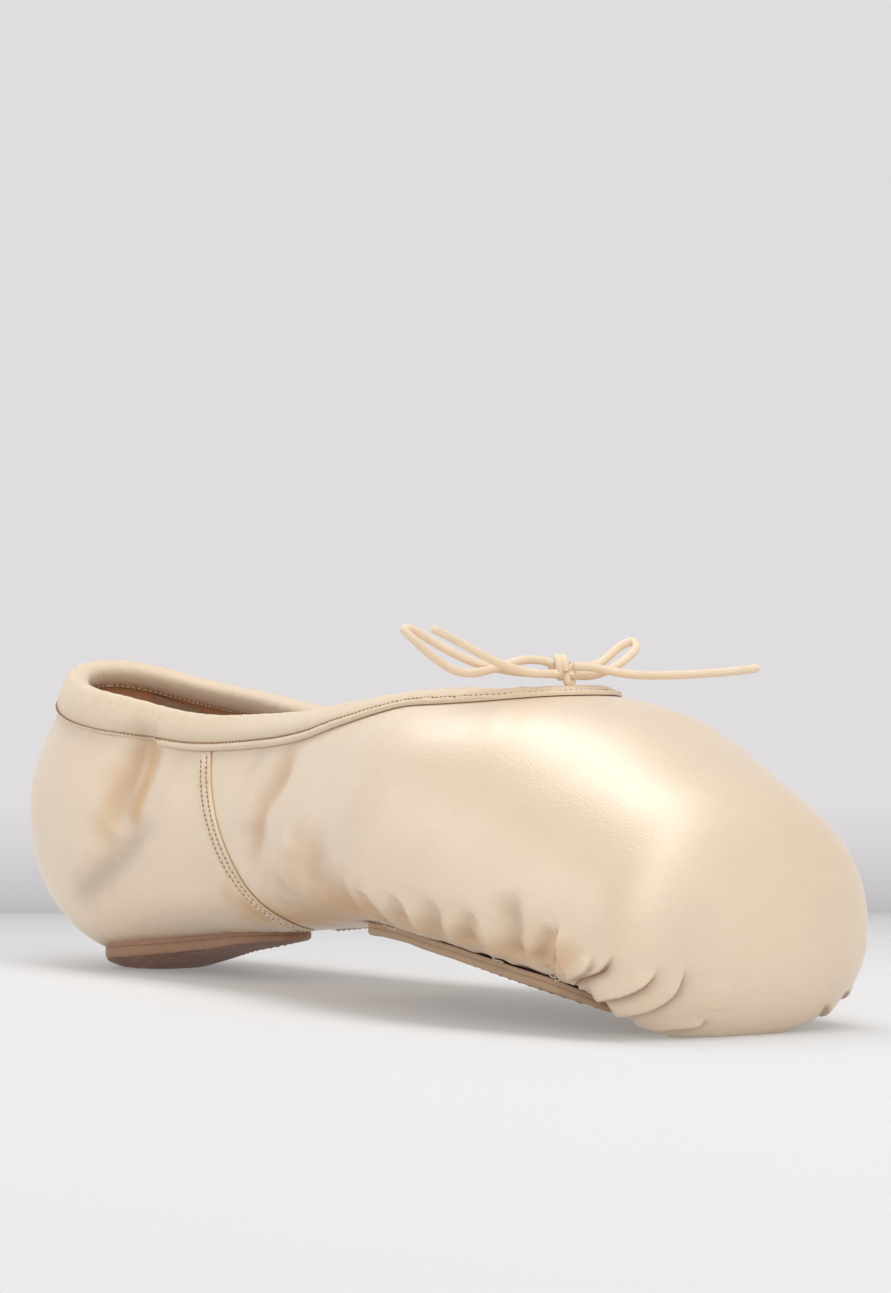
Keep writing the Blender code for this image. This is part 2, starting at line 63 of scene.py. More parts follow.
# Sizes of the last, the same as the solids have
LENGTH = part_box("upper")[1].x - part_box("upper")[0].x
BALL_WIDTH = 0.0737
HEEL_HEIGHT = 0.0753
INSTEP_HEIGHT = 0.0618
ARCH_HEIGHT = 0.0114
QUARTER_WALL = 0.0016
BOX_WALL = 0.0030
SOLE_THICKNESS = 0.0023
SOLE_OVERLAP = 0.0045
HEEL_BINDING_DEPTH = 0.0068
THROAT_BINDING_DEPTH = 0.0054
BINDING_THICKNESS = 0.0009
COLLAR_PULL = 0.0024
BINDING_RISE = 0.0017
SEAM_WIDTH = 0.0034
SEAM_THICKNESS = 0.0005
CORD_DIAMETER = 0.0016
GAP = 0.0004
LINING_GAP = 0.0007
SOLE_GAP = 0.0006

# Powers of the rounded lower half of a section and of the two end caps, and the caps' shares of the length
LOW_WIDTH_POWER = 2.5
LOW_POWER = 2.23
HEEL_CAP = 0.19
HEEL_POWER = 2.45
TIP_CAP = 0.07
TIP_POWER = 3.17
POLE_ROOM = 1e-9
RIM_POWER = 6.0
RIM_SLACK = 0.8

# Sections of the last. share: of the length, from the heel. half_width: of half the ball width.
# sole: height of the sole's underside, of the arch height. lift: how much of the sole's
# thickness lifts the satin there. crown and belly: of the height of heel and instep.
# square: power of the upper half, 2 for an ellipse and more for a flat top with shoulders.
Section = namedtuple("Section", "share half_width sole lift crown belly square")
SECTIONS = [
    Section(0.000, 0.655, 0.26, 0.8, 1.000, 0.424, 2.05),
    Section(0.120, 0.630, -0.15, 1.0, 1.026, 0.356, 2.05),
    Section(0.250, 0.613, 0.36, 1.0, 1.018, 0.361, 2.05),
    Section(0.420, 0.654, 0.95, 0.2, 0.973, 0.439, 2.10),
    Section(0.560, 0.852, 0.98, 1.0, 0.964, 0.469, 2.50),
    Section(0.700, 0.998, 0.78, 1.0, 0.964, 0.442, 2.60),
    Section(0.840, 0.931, 0.35, 1.0, 0.908, 0.364, 2.20),
    Section(0.900, 0.868, 0.14, 1.0, 0.818, 0.324, 2.10),
    Section(0.918, 0.849, 0.06, 1.0, 0.788, 0.315, 2.10),
    Section(0.942, 0.825, -0.02, 0.0, 0.748, 0.305, 2.10),
    Section(1.000, 0.808, -0.09, 0.0, 0.658, 0.285, 2.10),
]

# The collar line. rise: how far up it lies from the belly to the crown
Collar = namedtuple("Collar", "share rise")
COLLAR = [
    Collar(0.000, 0.730),
    Collar(0.080, 0.600),
    Collar(0.200, 0.555),
    Collar(0.340, 0.575),
    Collar(0.420, 0.658),
    Collar(0.500, 0.767),
    Collar(0.560, 0.866),
    Collar(0.620, 0.940),
    Collar(0.690, 0.972),
    Collar(0.735, 1.000),
]

# Outlines of the soles. half_width: of half the ball width, before the ends are rounded.
# thickness: of the full thickness, less where the leather is pared.
Outline = namedtuple("Outline", "share half_width thickness")
FRONT_SOLE = [
    Outline(0.518, 0.40, 0.90),
    Outline(0.600, 0.46, 1.00),
    Outline(0.700, 0.63, 1.00),
    Outline(0.800, 0.70, 1.00),
    Outline(0.870, 0.68, 0.95),
    Outline(0.922, 0.60, 0.80),
]
HEEL_SOLE = [
    Outline(0.110, 0.38, 0.90),
    Outline(0.180, 0.37, 1.00),
    Outline(0.250, 0.26, 0.95),
    Outline(0.300, 0.23, 0.80),
    Outline(0.350, 0.21, 0.40),
]
FRONT_SOLE_ROUNDS = (0.050, 0.050)
HEEL_SOLE_ROUNDS = (0.040, 0.050)

# Middle line of a side seam. at: share of the length. up: share of the girth up to the collar line.
SeamPoint = namedtuple("SeamPoint", "share at up")
SIDE_SEAM = [
    SeamPoint(0.000, 0.338, 0.88),
    SeamPoint(0.143, 0.353, 0.76),
    SeamPoint(0.286, 0.380, 0.60),
    SeamPoint(0.429, 0.407, 0.45),
    SeamPoint(0.571, 0.419, 0.34),
    SeamPoint(0.714, 0.420, 0.24),
    SeamPoint(0.857, 0.405, 0.13),
    SeamPoint(1.000, 0.384, 0.06),
]

# The bow's routes, millimetres from the origin, along each cord from the knot outwards
MILLIMETRE = 0.001
KNOT_MIDDLE = (56.0, -0.7, 63.9)
LOOP_LEFT = [
    (55.6, -2.9, 65.0), (55.4, -5.1, 65.5), (55.0, -8.1, 65.6), (54.6, -11.6, 64.9), (54.0, -15.2, 63.9),
    (53.4, -19.0, 63.3), (52.8, -22.2, 63.8), (52.2, -25.1, 65.4), (51.6, -28.2, 67.8), (51.0, -30.6, 70.0),
    (50.2, -31.6, 71.2), (49.0, -30.2, 71.6), (48.6, -27.3, 70.6), (49.2, -24.2, 68.8), (50.2, -21.2, 67.1),
    (51.3, -17.9, 65.5), (52.3, -14.1, 64.3), (53.0, -9.8, 63.5), (53.5, -6.0, 63.1), (54.2, -2.7, 62.9),
]
LOOP_RIGHT = [
    (55.4, 1.5, 64.3), (55.0, 5.3, 64.1), (54.6, 9.0, 64.7), (54.1, 12.0, 66.4), (54.1, 14.5, 68.0),
    (54.8, 16.2, 68.6), (55.9, 16.3, 67.7), (56.7, 14.2, 66.0), (57.1, 11.4, 64.4), (57.2, 8.1, 63.1),
    (57.1, 4.9, 62.5), (56.6, 1.6, 62.6),
]
END_LEFT = [
    (57.4, -2.9, 63.0), (58.3, -8.2, 63.2), (59.2, -13.5, 64.2), (60.0, -18.2, 65.6), (60.8, -23.4, 67.7),
    (61.6, -28.7, 70.0), (62.4, -33.6, 71.9),
]
END_RIGHT = [
    (58.3, 0.6, 64.4), (59.6, 3.0, 64.2), (60.6, 6.6, 63.5), (61.6, 10.6, 62.8), (63.0, 16.9, 62.5),
    (64.6, 24.9, 62.7), (65.8, 32.0, 63.1), (66.4, 36.9, 63.6),
]
Cord = namedtuple("Cord", "name points length far_end")
CORDS = [
    Cord("drawstring_loop_left", LOOP_LEFT, 0.0646, "knot"),
    Cord("drawstring_loop_right", LOOP_RIGHT, 0.0330, "knot"),
    Cord("drawstring_end_left", END_LEFT, 0.0317, "bare"),
    Cord("drawstring_end_right", END_RIGHT, 0.0380, "bare"),
]

# Main creases, given one by one. side: -1 the near right side, 1 the left, 0 both.
# points: (share of the length, part of the half girth from the bottom line to the crown line).
# depth and flap: how far the satin sinks along the line and how far its flap stands over it.
# width: of the trough. sharp: width of the step between flap and trough, 0 for a soft trough.
# turn: 1 where the flap lies on the heel's side of the line, -1 on the toe's side.
Crease = namedtuple("Crease", "side points depth flap width sharp turn")
PLEATS = [
    Crease(-1, [(0.917, 0.455), (0.915, 0.422), (0.908, 0.380), (0.895, 0.330)], 1.00, 0.55, 1.7, 0.22, -1),
    Crease(-1, [(0.951, 0.440), (0.950, 0.418), (0.944, 0.396), (0.930, 0.364), (0.915, 0.335)],
           0.55, 0.45, 1.5, 0.30, 1),
    Crease(-1,
           [(0.968, 0.455), (0.964, 0.427), (0.958, 0.407), (0.944, 0.382), (0.921, 0.334), (0.908, 0.305)],
           0.75, 0.65, 1.5, 0.20, 1),
    Crease(-1,
           [(0.987, 0.415), (0.985, 0.386), (0.981, 0.366), (0.972, 0.350), (0.955, 0.336), (0.925, 0.290)],
           0.85, 0.75, 1.5, 0.18, 1),
    Crease(-1,
           [(0.9935, 0.400), (0.991, 0.343), (0.987, 0.309), (0.977, 0.290), (0.960, 0.288), (0.935, 0.262)],
           0.85, 0.75, 1.5, 0.18, 1),
    Crease(-1, [(0.984, 0.170), (0.979, 0.150), (0.974, 0.172), (0.968, 0.200), (0.955, 0.215)],
           0.60, 0.50, 1.2, 0.20, 1),
    Crease(1, [(0.922, 0.452), (0.919, 0.420), (0.910, 0.378), (0.896, 0.330)], 0.80, 0.60, 1.6, 0.25, 1),
    Crease(1, [(0.948, 0.455), (0.946, 0.420), (0.936, 0.380), (0.915, 0.330)], 0.75, 0.60, 1.5, 0.20, 1),
    Crease(1, [(0.960, 0.400), (0.956, 0.380), (0.946, 0.350), (0.925, 0.310)], 0.70, 0.60, 1.5, 0.20, 1),
    Crease(1, [(0.976, 0.330), (0.970, 0.315), (0.958, 0.300), (0.936, 0.280)], 0.60, 0.45, 1.5, 0.20, 1),
    Crease(1, [(0.982, 0.250), (0.976, 0.245), (0.966, 0.240), (0.948, 0.232)], 0.55, 0.40, 1.4, 0.20, 1),
]
DENTS = [
    Crease(-1, [(0.210, 0.640), (0.232, 0.560), (0.222, 0.480), (0.205, 0.420)], 0.80, 0, 5.0, 0, 1),
    Crease(-1, [(0.262, 0.645), (0.271, 0.594), (0.272, 0.548), (0.266, 0.500), (0.255, 0.450)],
           0.35, 0.30, 2.6, 0.60, -1),
    Crease(-1, [(0.280, 0.440), (0.250, 0.395), (0.222, 0.347), (0.181, 0.308), (0.144, 0.281)],
           0.50, 0, 3.6, 0, 1),
    Crease(-1, [(0.225, 0.430), (0.195, 0.375), (0.160, 0.340)], -0.35, 0, 4.0, 0, 1),
    Crease(-1, [(0.506, 0.650), (0.482, 0.590), (0.460, 0.529), (0.456, 0.450), (0.462, 0.380)],
           0.80, 0, 4.6, 0, 1),
    Crease(-1, [(0.420, 0.600), (0.425, 0.520), (0.435, 0.440)], -0.30, 0, 4.5, 0, 1),
    Crease(-1, [(0.545, 0.480), (0.530, 0.400), (0.508, 0.330)], -0.55, 0, 4.0, 0, 1),
    Crease(-1, [(0.575, 0.440), (0.600, 0.380), (0.640, 0.320)], 0.80, 0, 7.5, 0, 1),
    Crease(-1, [(0.729, 0.400), (0.718, 0.355), (0.706, 0.305)], 0.80, 0, 2.6, 0, 1),
    Crease(-1, [(0.668, 0.390), (0.668, 0.350), (0.664, 0.300)], 0.60, 0, 2.4, 0, 1),
    Crease(-1, [(0.780, 0.415), (0.762, 0.350), (0.752, 0.305)], 0.90, 0, 2.4, 0, 1),
    Crease(-1, [(0.824, 0.420), (0.804, 0.350), (0.796, 0.305)], 0.90, 0, 2.2, 0, 1),
    Crease(-1, [(0.858, 0.475), (0.866, 0.425), (0.858, 0.355), (0.850, 0.310)], 1.10, 0, 2.4, 0, 1),
    Crease(-1, [(0.906, 0.455), (0.900, 0.410), (0.886, 0.355), (0.876, 0.320)], 0.90, 0, 2.0, 0, 1),
    Crease(-1, [(0.745, 0.390), (0.738, 0.350), (0.730, 0.305)], -0.45, 0, 2.4, 0, 1),
    Crease(-1, [(0.800, 0.400), (0.784, 0.350), (0.775, 0.305)], -0.50, 0, 2.2, 0, 1),
    Crease(-1, [(0.842, 0.410), (0.832, 0.350), (0.824, 0.310)], -0.50, 0, 2.2, 0, 1),
    Crease(-1, [(0.996, 0.234), (0.986, 0.150)], -0.30, 0, 2.5, 0, 1),
    Crease(1, [(0.230, 0.640), (0.245, 0.560), (0.235, 0.470), (0.200, 0.400)], 0.70, 0, 5.5, 0, 1),
    Crease(1, [(0.470, 0.640), (0.462, 0.560), (0.470, 0.470), (0.480, 0.380)], 0.80, 0, 5.0, 0, 1),
    Crease(1, [(0.540, 0.500), (0.550, 0.420), (0.530, 0.340)], -0.45, 0, 4.5, 0, 1),
    Crease(1, [(0.590, 0.430), (0.620, 0.380), (0.650, 0.320)], 0.70, 0, 7.0, 0, 1),
    Crease(1, [(0.735, 0.400), (0.730, 0.360), (0.722, 0.310)], 0.50, 0, 2.8, 0, 1),
    Crease(1, [(0.800, 0.410), (0.798, 0.370), (0.792, 0.320)], 0.50, 0, 2.6, 0, 1),
    Crease(1, [(0.860, 0.430), (0.862, 0.390), (0.856, 0.330)], 0.55, 0, 2.4, 0, 1),
]

# Stains and rubbed places on the satin, the same way; the warm table also holds painted warm shade low on the
# waist and above the front sole. strength: 1 for the full colour.
StainAndShade = namedtuple("StainAndShade", "side points width strength")
WARM_STAINS_AND_SHADE = [
    StainAndShade(-1, [(0.243, 0.650), (0.254, 0.600), (0.257, 0.550), (0.254, 0.502), (0.245, 0.456)], 2.9, 1.0),
    StainAndShade(-1, [(0.238, 0.640), (0.236, 0.580), (0.226, 0.520)], 4.2, 0.70),
    StainAndShade(-1, [(0.218, 0.520), (0.208, 0.475), (0.203, 0.425)], 4.6, 0.55),
    StainAndShade(-1, [(0.481, 0.645), (0.477, 0.560), (0.467, 0.510), (0.457, 0.436)], 3.8, 0.60),
    # This row and the next three are painted warm shade over the lower waist and above the front sole, not
    # stains
    StainAndShade(-1, [(0.566, 0.430), (0.576, 0.380), (0.572, 0.320)], 5.5, 0.55),
    StainAndShade(-1, [(0.400, 0.205), (0.450, 0.190), (0.530, 0.235), (0.592, 0.290), (0.650, 0.310)], 7.0, 1.0),
    StainAndShade(-1, [(0.500, 0.340), (0.550, 0.390), (0.580, 0.440)], 6.0, 0.50),
    StainAndShade(-1, [(0.600, 0.280), (0.700, 0.310), (0.790, 0.325), (0.870, 0.345), (0.915, 0.385)], 4.2, 0.65),
    StainAndShade(1, [(0.480, 0.600), (0.470, 0.520), (0.475, 0.440)], 5.0, 0.45),
    StainAndShade(1, [(0.240, 0.600), (0.235, 0.520)], 4.5, 0.50),
    # Painted warm shade over the lower waist of the far side, not a stain
    StainAndShade(1, [(0.470, 0.250), (0.520, 0.265), (0.570, 0.250)], 6.5, 0.50),
]
GREY_STAINS = [
    StainAndShade(-1, [(0.276, 0.425), (0.258, 0.395)], 2.4, 0.45),
    StainAndShade(-1, [(0.248, 0.385), (0.222, 0.345)], 3.4, 0.60),
    StainAndShade(-1, [(0.213, 0.335), (0.178, 0.302), (0.155, 0.285)], 3.0, 0.75),
    StainAndShade(-1, [(0.309, 0.600), (0.291, 0.556), (0.284, 0.490)], 4.0, 0.30),
    StainAndShade(-1, [(0.430, 0.640), (0.420, 0.610)], 3.0, 0.40),
    StainAndShade(1, [(0.225, 0.400), (0.180, 0.330)], 4.0, 0.45),
    StainAndShade(0, [(0.985, 0.30), (0.993, 0.55)], 6.0, 0.18),
]

# Fine grid of the satin: stations over the heel, along the collar and over the box, steps over half
# the girth, how many of them make one step of the inner skin, and where the grid is denser
HEEL_STATIONS = 30
COLLAR_STATIONS = 132
BOX_STATIONS = 138
GIRTH_STEPS = 132
INNER_STEP = 3
FINE_STEPS = 400
PLEAT_DENSITY = 3.6
CUTTER_DROP = 0.005
CUTTER_REACH = 0.55

# Angles, in radians, past which an edge of a mesh is shaded sharp
SHARP_EDGE = 1.1
SHARP_SOLE_EDGE = 0.8
SHARP_CUT_EDGE = 1.35


class ShoeSizes(bpy.types.PropertyGroup):
    """Sizes of the sewing, the folds and the wear."""

    crease_depth: FloatProperty(
        name="Crease depth", description="Depth of the main pleats and dents, as a factor", default=1.3, min=0
    )
    gather_depth: FloatProperty(
        name="Gather depth", description="Depth of the small gathers along the soles", default=0.00032,
        unit="LENGTH", precision=5,
    )
    gather_pitch: FloatProperty(
        name="Gather pitch", description="Mean distance between the gathers", default=0.0042,
        unit="LENGTH", precision=5,
    )
    channel_depth: FloatProperty(
        name="Channel depth", description="How far the satin sinks in beside the soles", default=0.0007,
        unit="LENGTH", precision=5,
    )
    ripple: FloatProperty(
        name="Ripple", description="Slow unevenness of the satin over the last", default=0.00013,
        unit="LENGTH", precision=5,
    )
    pucker: FloatProperty(
        name="Pucker", description="Depth of the puckers of the collar tape", default=0.00012,
        unit="LENGTH", precision=5,
    )
    tape_stitch: FloatProperty(
        name="Tape stitch", description="Distance between the stitches of the collar tape", default=0.00115,
        unit="LENGTH", precision=5,
    )
    seam_stitch: FloatProperty(
        name="Seam stitch", description="Distance between the stitches of the seams", default=0.00112,
        unit="LENGTH", precision=5,
    )
    weave_pitch: FloatProperty(
        name="Weave pitch", description="Distance between the ribs of the satin weave", default=0.00042,
        unit="LENGTH", precision=5,
    )


def colour_property(name, description, default):
    """A colour that a user may change, linear red, green and blue."""
    return FloatVectorProperty(
        name=name, description=description, default=default, subtype="COLOR", size=3, min=0, max=1
    )


class ShoeColours(bpy.types.PropertyGroup):
    """Colours of the shoe's materials and of the stage."""

    satin: colour_property("Satin", "Lit satin of the upper", (0.80, 0.64, 0.468))
    satin_deep: colour_property("Deep satin", "Satin in its folds", (0.62, 0.42, 0.25))
    # Colour of the warm stains, also used for the painted warm shade of the lower waist and above the front
    # sole
    warm_stain_and_shade: colour_property("Warm stain", "Old glue and wear on the satin", (0.64, 0.36, 0.13))
    grey_stain: colour_property("Grey stain", "Rubbed dirt on the satin", (0.52, 0.42, 0.33))
    tape: colour_property("Tape", "Cotton tape of the collar", (0.74, 0.61, 0.45))
    tape_deep: colour_property("Deep tape", "Tape where hands have darkened it", (0.70, 0.50, 0.34))
    lining: colour_property("Lining", "Canvas lining", (0.66, 0.36, 0.20))
    patch: colour_property("Patch", "Bare patch on the lining", (0.50, 0.36, 0.25))
    # The dark thread colour is the thread together with the painted shade of its holes
    thread: colour_property("Thread", "Sewing thread in its holes", (0.33, 0.20, 0.11))
    loose_thread: colour_property("Loose thread", "Frayed thread ends", (0.80, 0.70, 0.55))
    cord: colour_property("Cord", "Drawstring", (0.86, 0.69, 0.50))
    suede: colour_property("Suede", "Front sole", (0.42, 0.26, 0.15))
    suede_edge: colour_property("Suede edge", "Cut edge of the front sole", (0.50, 0.34, 0.22))
    heel_leather: colour_property("Heel leather", "Worn underside of the heel sole", (0.25, 0.105, 0.055))
    heel_edge: colour_property("Heel edge", "Cut edge of the heel sole", (0.40, 0.24, 0.15))
    insole: colour_property("Insole", "Leather of the insole", (0.55, 0.42, 0.29))
    floor: colour_property("Floor", "Studio floor", (0.56, 0.56, 0.565))
    backdrop: colour_property("Backdrop", "Studio backdrop", (0.745, 0.722, 0.738))


def sizes():
    """The sizes that a user may change."""
    return bpy.context.scene.shoe_sizes


def colours():
    """The colours that a user may change."""
    return bpy.context.scene.shoe_colours


def column(rows, name, share):
    """One column of a table as a smooth curve, read at the given shares of the length."""
    knots = np.array([row.share for row in rows])
    values = np.array([getattr(row, name) for row in rows])
    return smooth_read(knots, values, share)


def smooth_read(knots, values, read):
    """Values at places along knots, on a smooth curve through the given ones."""
    slopes = np.gradient(values, knots, axis=0)
    read = np.clip(read, knots[0], knots[-1])
    k = np.clip(np.searchsorted(knots, read, side="right") - 1, 0, len(knots) - 2)
    span = knots[k + 1] - knots[k]
    t = (read - knots[k]) / span
    if values.ndim > 1:
        span, t = span[:, None], t[:, None]
    return (
        (2 * t**3 - 3 * t**2 + 1) * values[k]
        + (t**3 - 2 * t**2 + t) * span * slopes[k]
        + (3 * t**2 - 2 * t**3) * values[k + 1]
        + (t**3 - t**2) * span * slopes[k + 1]
    )


def ease(value, low, high):
    """0 below low, 1 above high, smooth between."""
    t = np.clip((value - low) / (high - low), 0, 1)
    return t * t * (3 - 2 * t)


def section_sizes(share):
    """Half width, satin bottom, belly height and crown height of the section at a share of the length."""
    height = HEEL_HEIGHT + (INSTEP_HEIGHT - HEEL_HEIGHT) * ease(share, 0.1, 0.6)
    half = column(SECTIONS, "half_width", share) * BALL_WIDTH / 2
    lift = column(SECTIONS, "lift", share) * (SOLE_THICKNESS + SOLE_GAP)
    bottom = column(SECTIONS, "sole", share) * ARCH_HEIGHT + lift
    return half, bottom, column(SECTIONS, "belly", share) * height, column(SECTIONS, "crown", share) * height


def collar_pull(share, up):
    """How far the drawstring draws the collar in, at a share of the way from the belly to the crown."""
    return COLLAR_PULL * ease(up, 0.1, 0.6) * (1 - ease(share, 0.5, 0.72))


def wall(share):
    """Thickness of the upper: cloth and canvas at the quarters, a stiffened box at the toe."""
    return QUARTER_WALL + (BOX_WALL - QUARTER_WALL) * ease(share, 0.55, 0.85)


def caps(share):
    """How much the rounded heel and the flat tip take from a section: 0 between them, 1 at the poles."""
    heel = np.clip((HEEL_CAP - share) / HEEL_CAP, 0, None) ** HEEL_POWER
    tip = np.clip((share - 1 + TIP_CAP) / TIP_CAP, 0, None) ** TIP_POWER
    return heel + tip


def x_at(share):
    """Place along the shoe of a share of the length."""
    return (share - 0.5) * LENGTH


def share_at(x):
    """Share of the length at a place along the shoe."""
    return x / LENGTH + 0.5


def upper_width(share, half, pull):
    """Half width for the upper half's curve, so that it meets the lower half in the rounded ends too."""
    power = column(SECTIONS, "square", share)
    room = np.clip(1 - caps(share - pull / LENGTH), POLE_ROOM, 1)
    return (half - pull) * room ** (1 / LOW_WIDTH_POWER - 1 / power)


def upper_half(share, half, up):
    """How wide the upper half of a section is at a share of the way from the belly to the crown."""
    pull = collar_pull(share, up)
    power = column(SECTIONS, "square", share)
    room = 1 - caps(share - pull / LENGTH) - up**power
    return upper_width(share, half, pull) * np.clip(room, 0, 1) ** (1 / power)


def lower_half(share, half, down):
    """How wide the lower half of a section is at a share of the way from the belly to the bottom."""
    return half * np.clip(1 - caps(share) - down**LOW_POWER, 0, 1) ** (1 / LOW_WIDTH_POWER)


def closing(share):
    """How far up from the belly to the crown a section closes over the foot."""
    up = 1.0
    power = column(SECTIONS, "square", share)
    for _ in range(40):
        up = np.clip(1 - caps(share - collar_pull(share, up) / LENGTH), 0, 1) ** (1 / power)
    return up


def level(points):
    """Below zero inside the last, zero on its surface, above zero outside."""
    share = share_at(points[..., 0])
    half, bottom, belly, crown = section_sizes(share)
    above = points[..., 2] > belly
    up = np.clip((points[..., 2] - belly) / (crown - belly), 0, None)
    down = np.clip((belly - points[..., 2]) / (belly - bottom), 0, None)
    pull = collar_pull(share, up)
    power = column(SECTIONS, "square", share)
    y = np.abs(points[..., 1])
    high = (y / upper_width(share, half, pull)) ** power + up**power + caps(share - pull / LENGTH)
    low = (y / half) ** LOW_WIDTH_POWER + down**LOW_POWER + caps(share)
    return np.where(above, high, low) - 1


def slope(points):
    """Gradient of the level at each point."""
    step = 1e-5
    sides = [level(points + offset) - level(points - offset) for offset in np.eye(3) * step]
    return np.stack(sides, axis=-1) / (2 * step)


def unit(vectors):
    """Vectors of length 1."""
    return vectors / np.maximum(np.linalg.norm(vectors, axis=-1, keepdims=True), 1e-12)


def normals(points):
    """Outward normals of the last's surface."""
    return unit(slope(points))


def press(points):
    """Moves points near the last onto its surface."""
    for _ in range(6):
        gradient = slope(points)
        points = points - (level(points) / (gradient**2).sum(axis=-1))[..., None] * gradient
    return points


def down_from(points, along, distance):
    """Points at a distance from the collar line over the last's surface, square to the line."""
    steps = 4
    for _ in range(steps):
        way = unit(np.cross(along, normals(points)))
        points = press(points + way * distance / steps)
    return points


def crossing(low, high):
    """The share between low and high where the collar line meets the middle line of the last."""
    def over(share):
        return column(COLLAR, "rise", share) - closing(share)

    rising = over(high) > over(low)
    for _ in range(60):
        middle = (low + high) / 2
        if (over(middle) > 0) == rising:
            high = middle
        else:
            low = middle
    return (low + high) / 2


HEEL_EDGE = crossing(0.0, 0.15)
THROAT = crossing(0.60, 0.735)


def half_section(share):
    """Runs, widths and heights of a section's right half from its bottom, and the collar line's run."""
    half, bottom, belly, crown = section_sizes(share)
    closed_at = closing(share)
    turn = np.sin(np.linspace(0, pi / 2, FINE_STEPS + 1))
    down = turn[::-1] * np.clip(1 - caps(share), 0, 1) ** (1 / LOW_POWER)
    up = turn[1:] * closed_at
    y = -np.concatenate([lower_half(share, half, down), upper_half(share, half, up)])
    z = np.concatenate([belly - (belly - bottom) * down, belly + (crown - belly) * up])
    y[0] = 0
    y[-1] = 0
    run = np.concatenate([[0], np.cumsum(np.hypot(np.diff(y), np.diff(z)))])
    rise = column(COLLAR, "rise", share)
    is_open = HEEL_EDGE < share < THROAT and rise < closed_at
    rim = np.interp(rise, up, run[FINE_STEPS + 1 :]) if is_open else run[-1]
    return run, y, z, rim


def on_section(share, part):
    """The point at a part of the girth from the bottom to the collar line."""
    run, y, z, rim = half_section(share)
    return np.array([x_at(share), np.interp(part * rim, run, y), np.interp(part * rim, run, z)])


def at_girth(share, part, side):
    """The point at a part of the whole half girth from the bottom line to the crown line."""
    run, y, z, _ = half_section(share)
    at = part * run[-1]
    return np.array([x_at(share), -side * np.interp(at, run, y), np.interp(at, run, z)])


def girth(share, row):
    """Points on a section, with rows that draw together toward the collar line."""
    run, y, z, rim = half_section(share)
    full = run[-1]
    power = min(RIM_POWER, RIM_SLACK * full / max(full - rim, 1e-9))
    at = row * full - (full - rim) * row**power
    return np.stack([np.full(len(row), x_at(share)), np.interp(at, run, y), np.interp(at, run, z)], axis=-1)


def underside(x, y):
    """Height of the upper's underside over a place on the floor."""
    share = share_at(x)
    half, bottom, belly, _ = section_sizes(share)
    room = np.clip(1 - caps(share) - np.abs(y / half) ** LOW_WIDTH_POWER, 0, 1)
    return belly - (belly - bottom) * room ** (1 / LOW_POWER)


def on_floor(points):
    """Lifts what would lie under the floor onto it, as the solids do."""
    points = points.copy()
    points[..., 2] = np.maximum(points[..., 2], 0)
    return points


def outline(rows, rounds, count, inset=0.0):
    """Stations and half widths of a sole outline with rounded ends, optionally drawn in all round."""
    low = rows[0].share + inset / LENGTH
    high = rows[-1].share - inset / LENGTH
    share = low + (high - low) * (1 - np.cos(np.linspace(0, pi, count + 1))) / 2
    half = column(rows, "half_width", share) * BALL_WIDTH / 2 - inset
    back = np.clip((low + rounds[0] - share) / rounds[0], 0, 1)
    front = np.clip((share - high + rounds[1]) / rounds[1], 0, 1)
    return share, half * np.sqrt(np.clip(1 - back**2, 0, 1)) * np.sqrt(np.clip(1 - front**2, 0, 1))


def outline_loop(rows, rounds, count, inset=0.0):
    """A sole outline as a closed loop of places on the floor."""
    share, half = outline(rows, rounds, count, inset)
    side = np.stack([x_at(share), -half], axis=-1)
    return np.concatenate([side, (side * [1, -1])[-2:0:-1]])


def lay_evenly(low, high, count):
    """Shares between low and high at even steps over the surface, denser among the pleats."""
    share = low + (high - low) * (1 - np.cos(np.linspace(0, pi, 3001))) / 2
    half, _, belly, crown = section_sizes(share)
    width = half * np.clip(1 - caps(share), 0, 1) ** (1 / LOW_WIDTH_POWER)
    dense = 1 + PLEAT_DENSITY * ease(share, 0.86, 0.91) * (1 - ease(share, 0.994, 0.998))
    side = np.hypot(np.diff(x_at(share)), np.diff(width)) * (dense[1:] + dense[:-1]) / 2
    rise = np.clip(column(COLLAR, "rise", share), 0, 1)
    edge = upper_half(share, half, rise)
    collar = np.hypot(np.diff(edge), np.diff(belly + (crown - belly) * rise))
    collar *= (share[1:] > HEEL_EDGE) & (share[1:] < THROAT)
    run = np.concatenate([[0], np.cumsum(side + collar)])
    made = np.interp(np.linspace(0, run[-1], count + 1), run, share)
    made[0], made[-1] = low, high
    return made


def girth_rows():
    """Shares of the half girth for the grid's rows, denser where the pleats are."""
    row = np.linspace(0, 1, 1001)
    dense = 1 + 1.4 * ease(row, 0.08, 0.2) * (1 - ease(row, 0.45, 0.62))
    run = np.concatenate([[0], np.cumsum((dense[1:] + dense[:-1]) / 2)])
    return np.interp(np.linspace(0, run[-1], GIRTH_STEPS + 1), run, row)


def smooth_line(points, count):
    """An even number of points along a smooth curve through the chosen ones."""
    points = np.array(points, dtype=float)
    run = np.concatenate([[0], np.cumsum(np.linalg.norm(np.diff(points, axis=0), axis=1))])
    return smooth_read(run, points, np.linspace(0, run[-1], count))


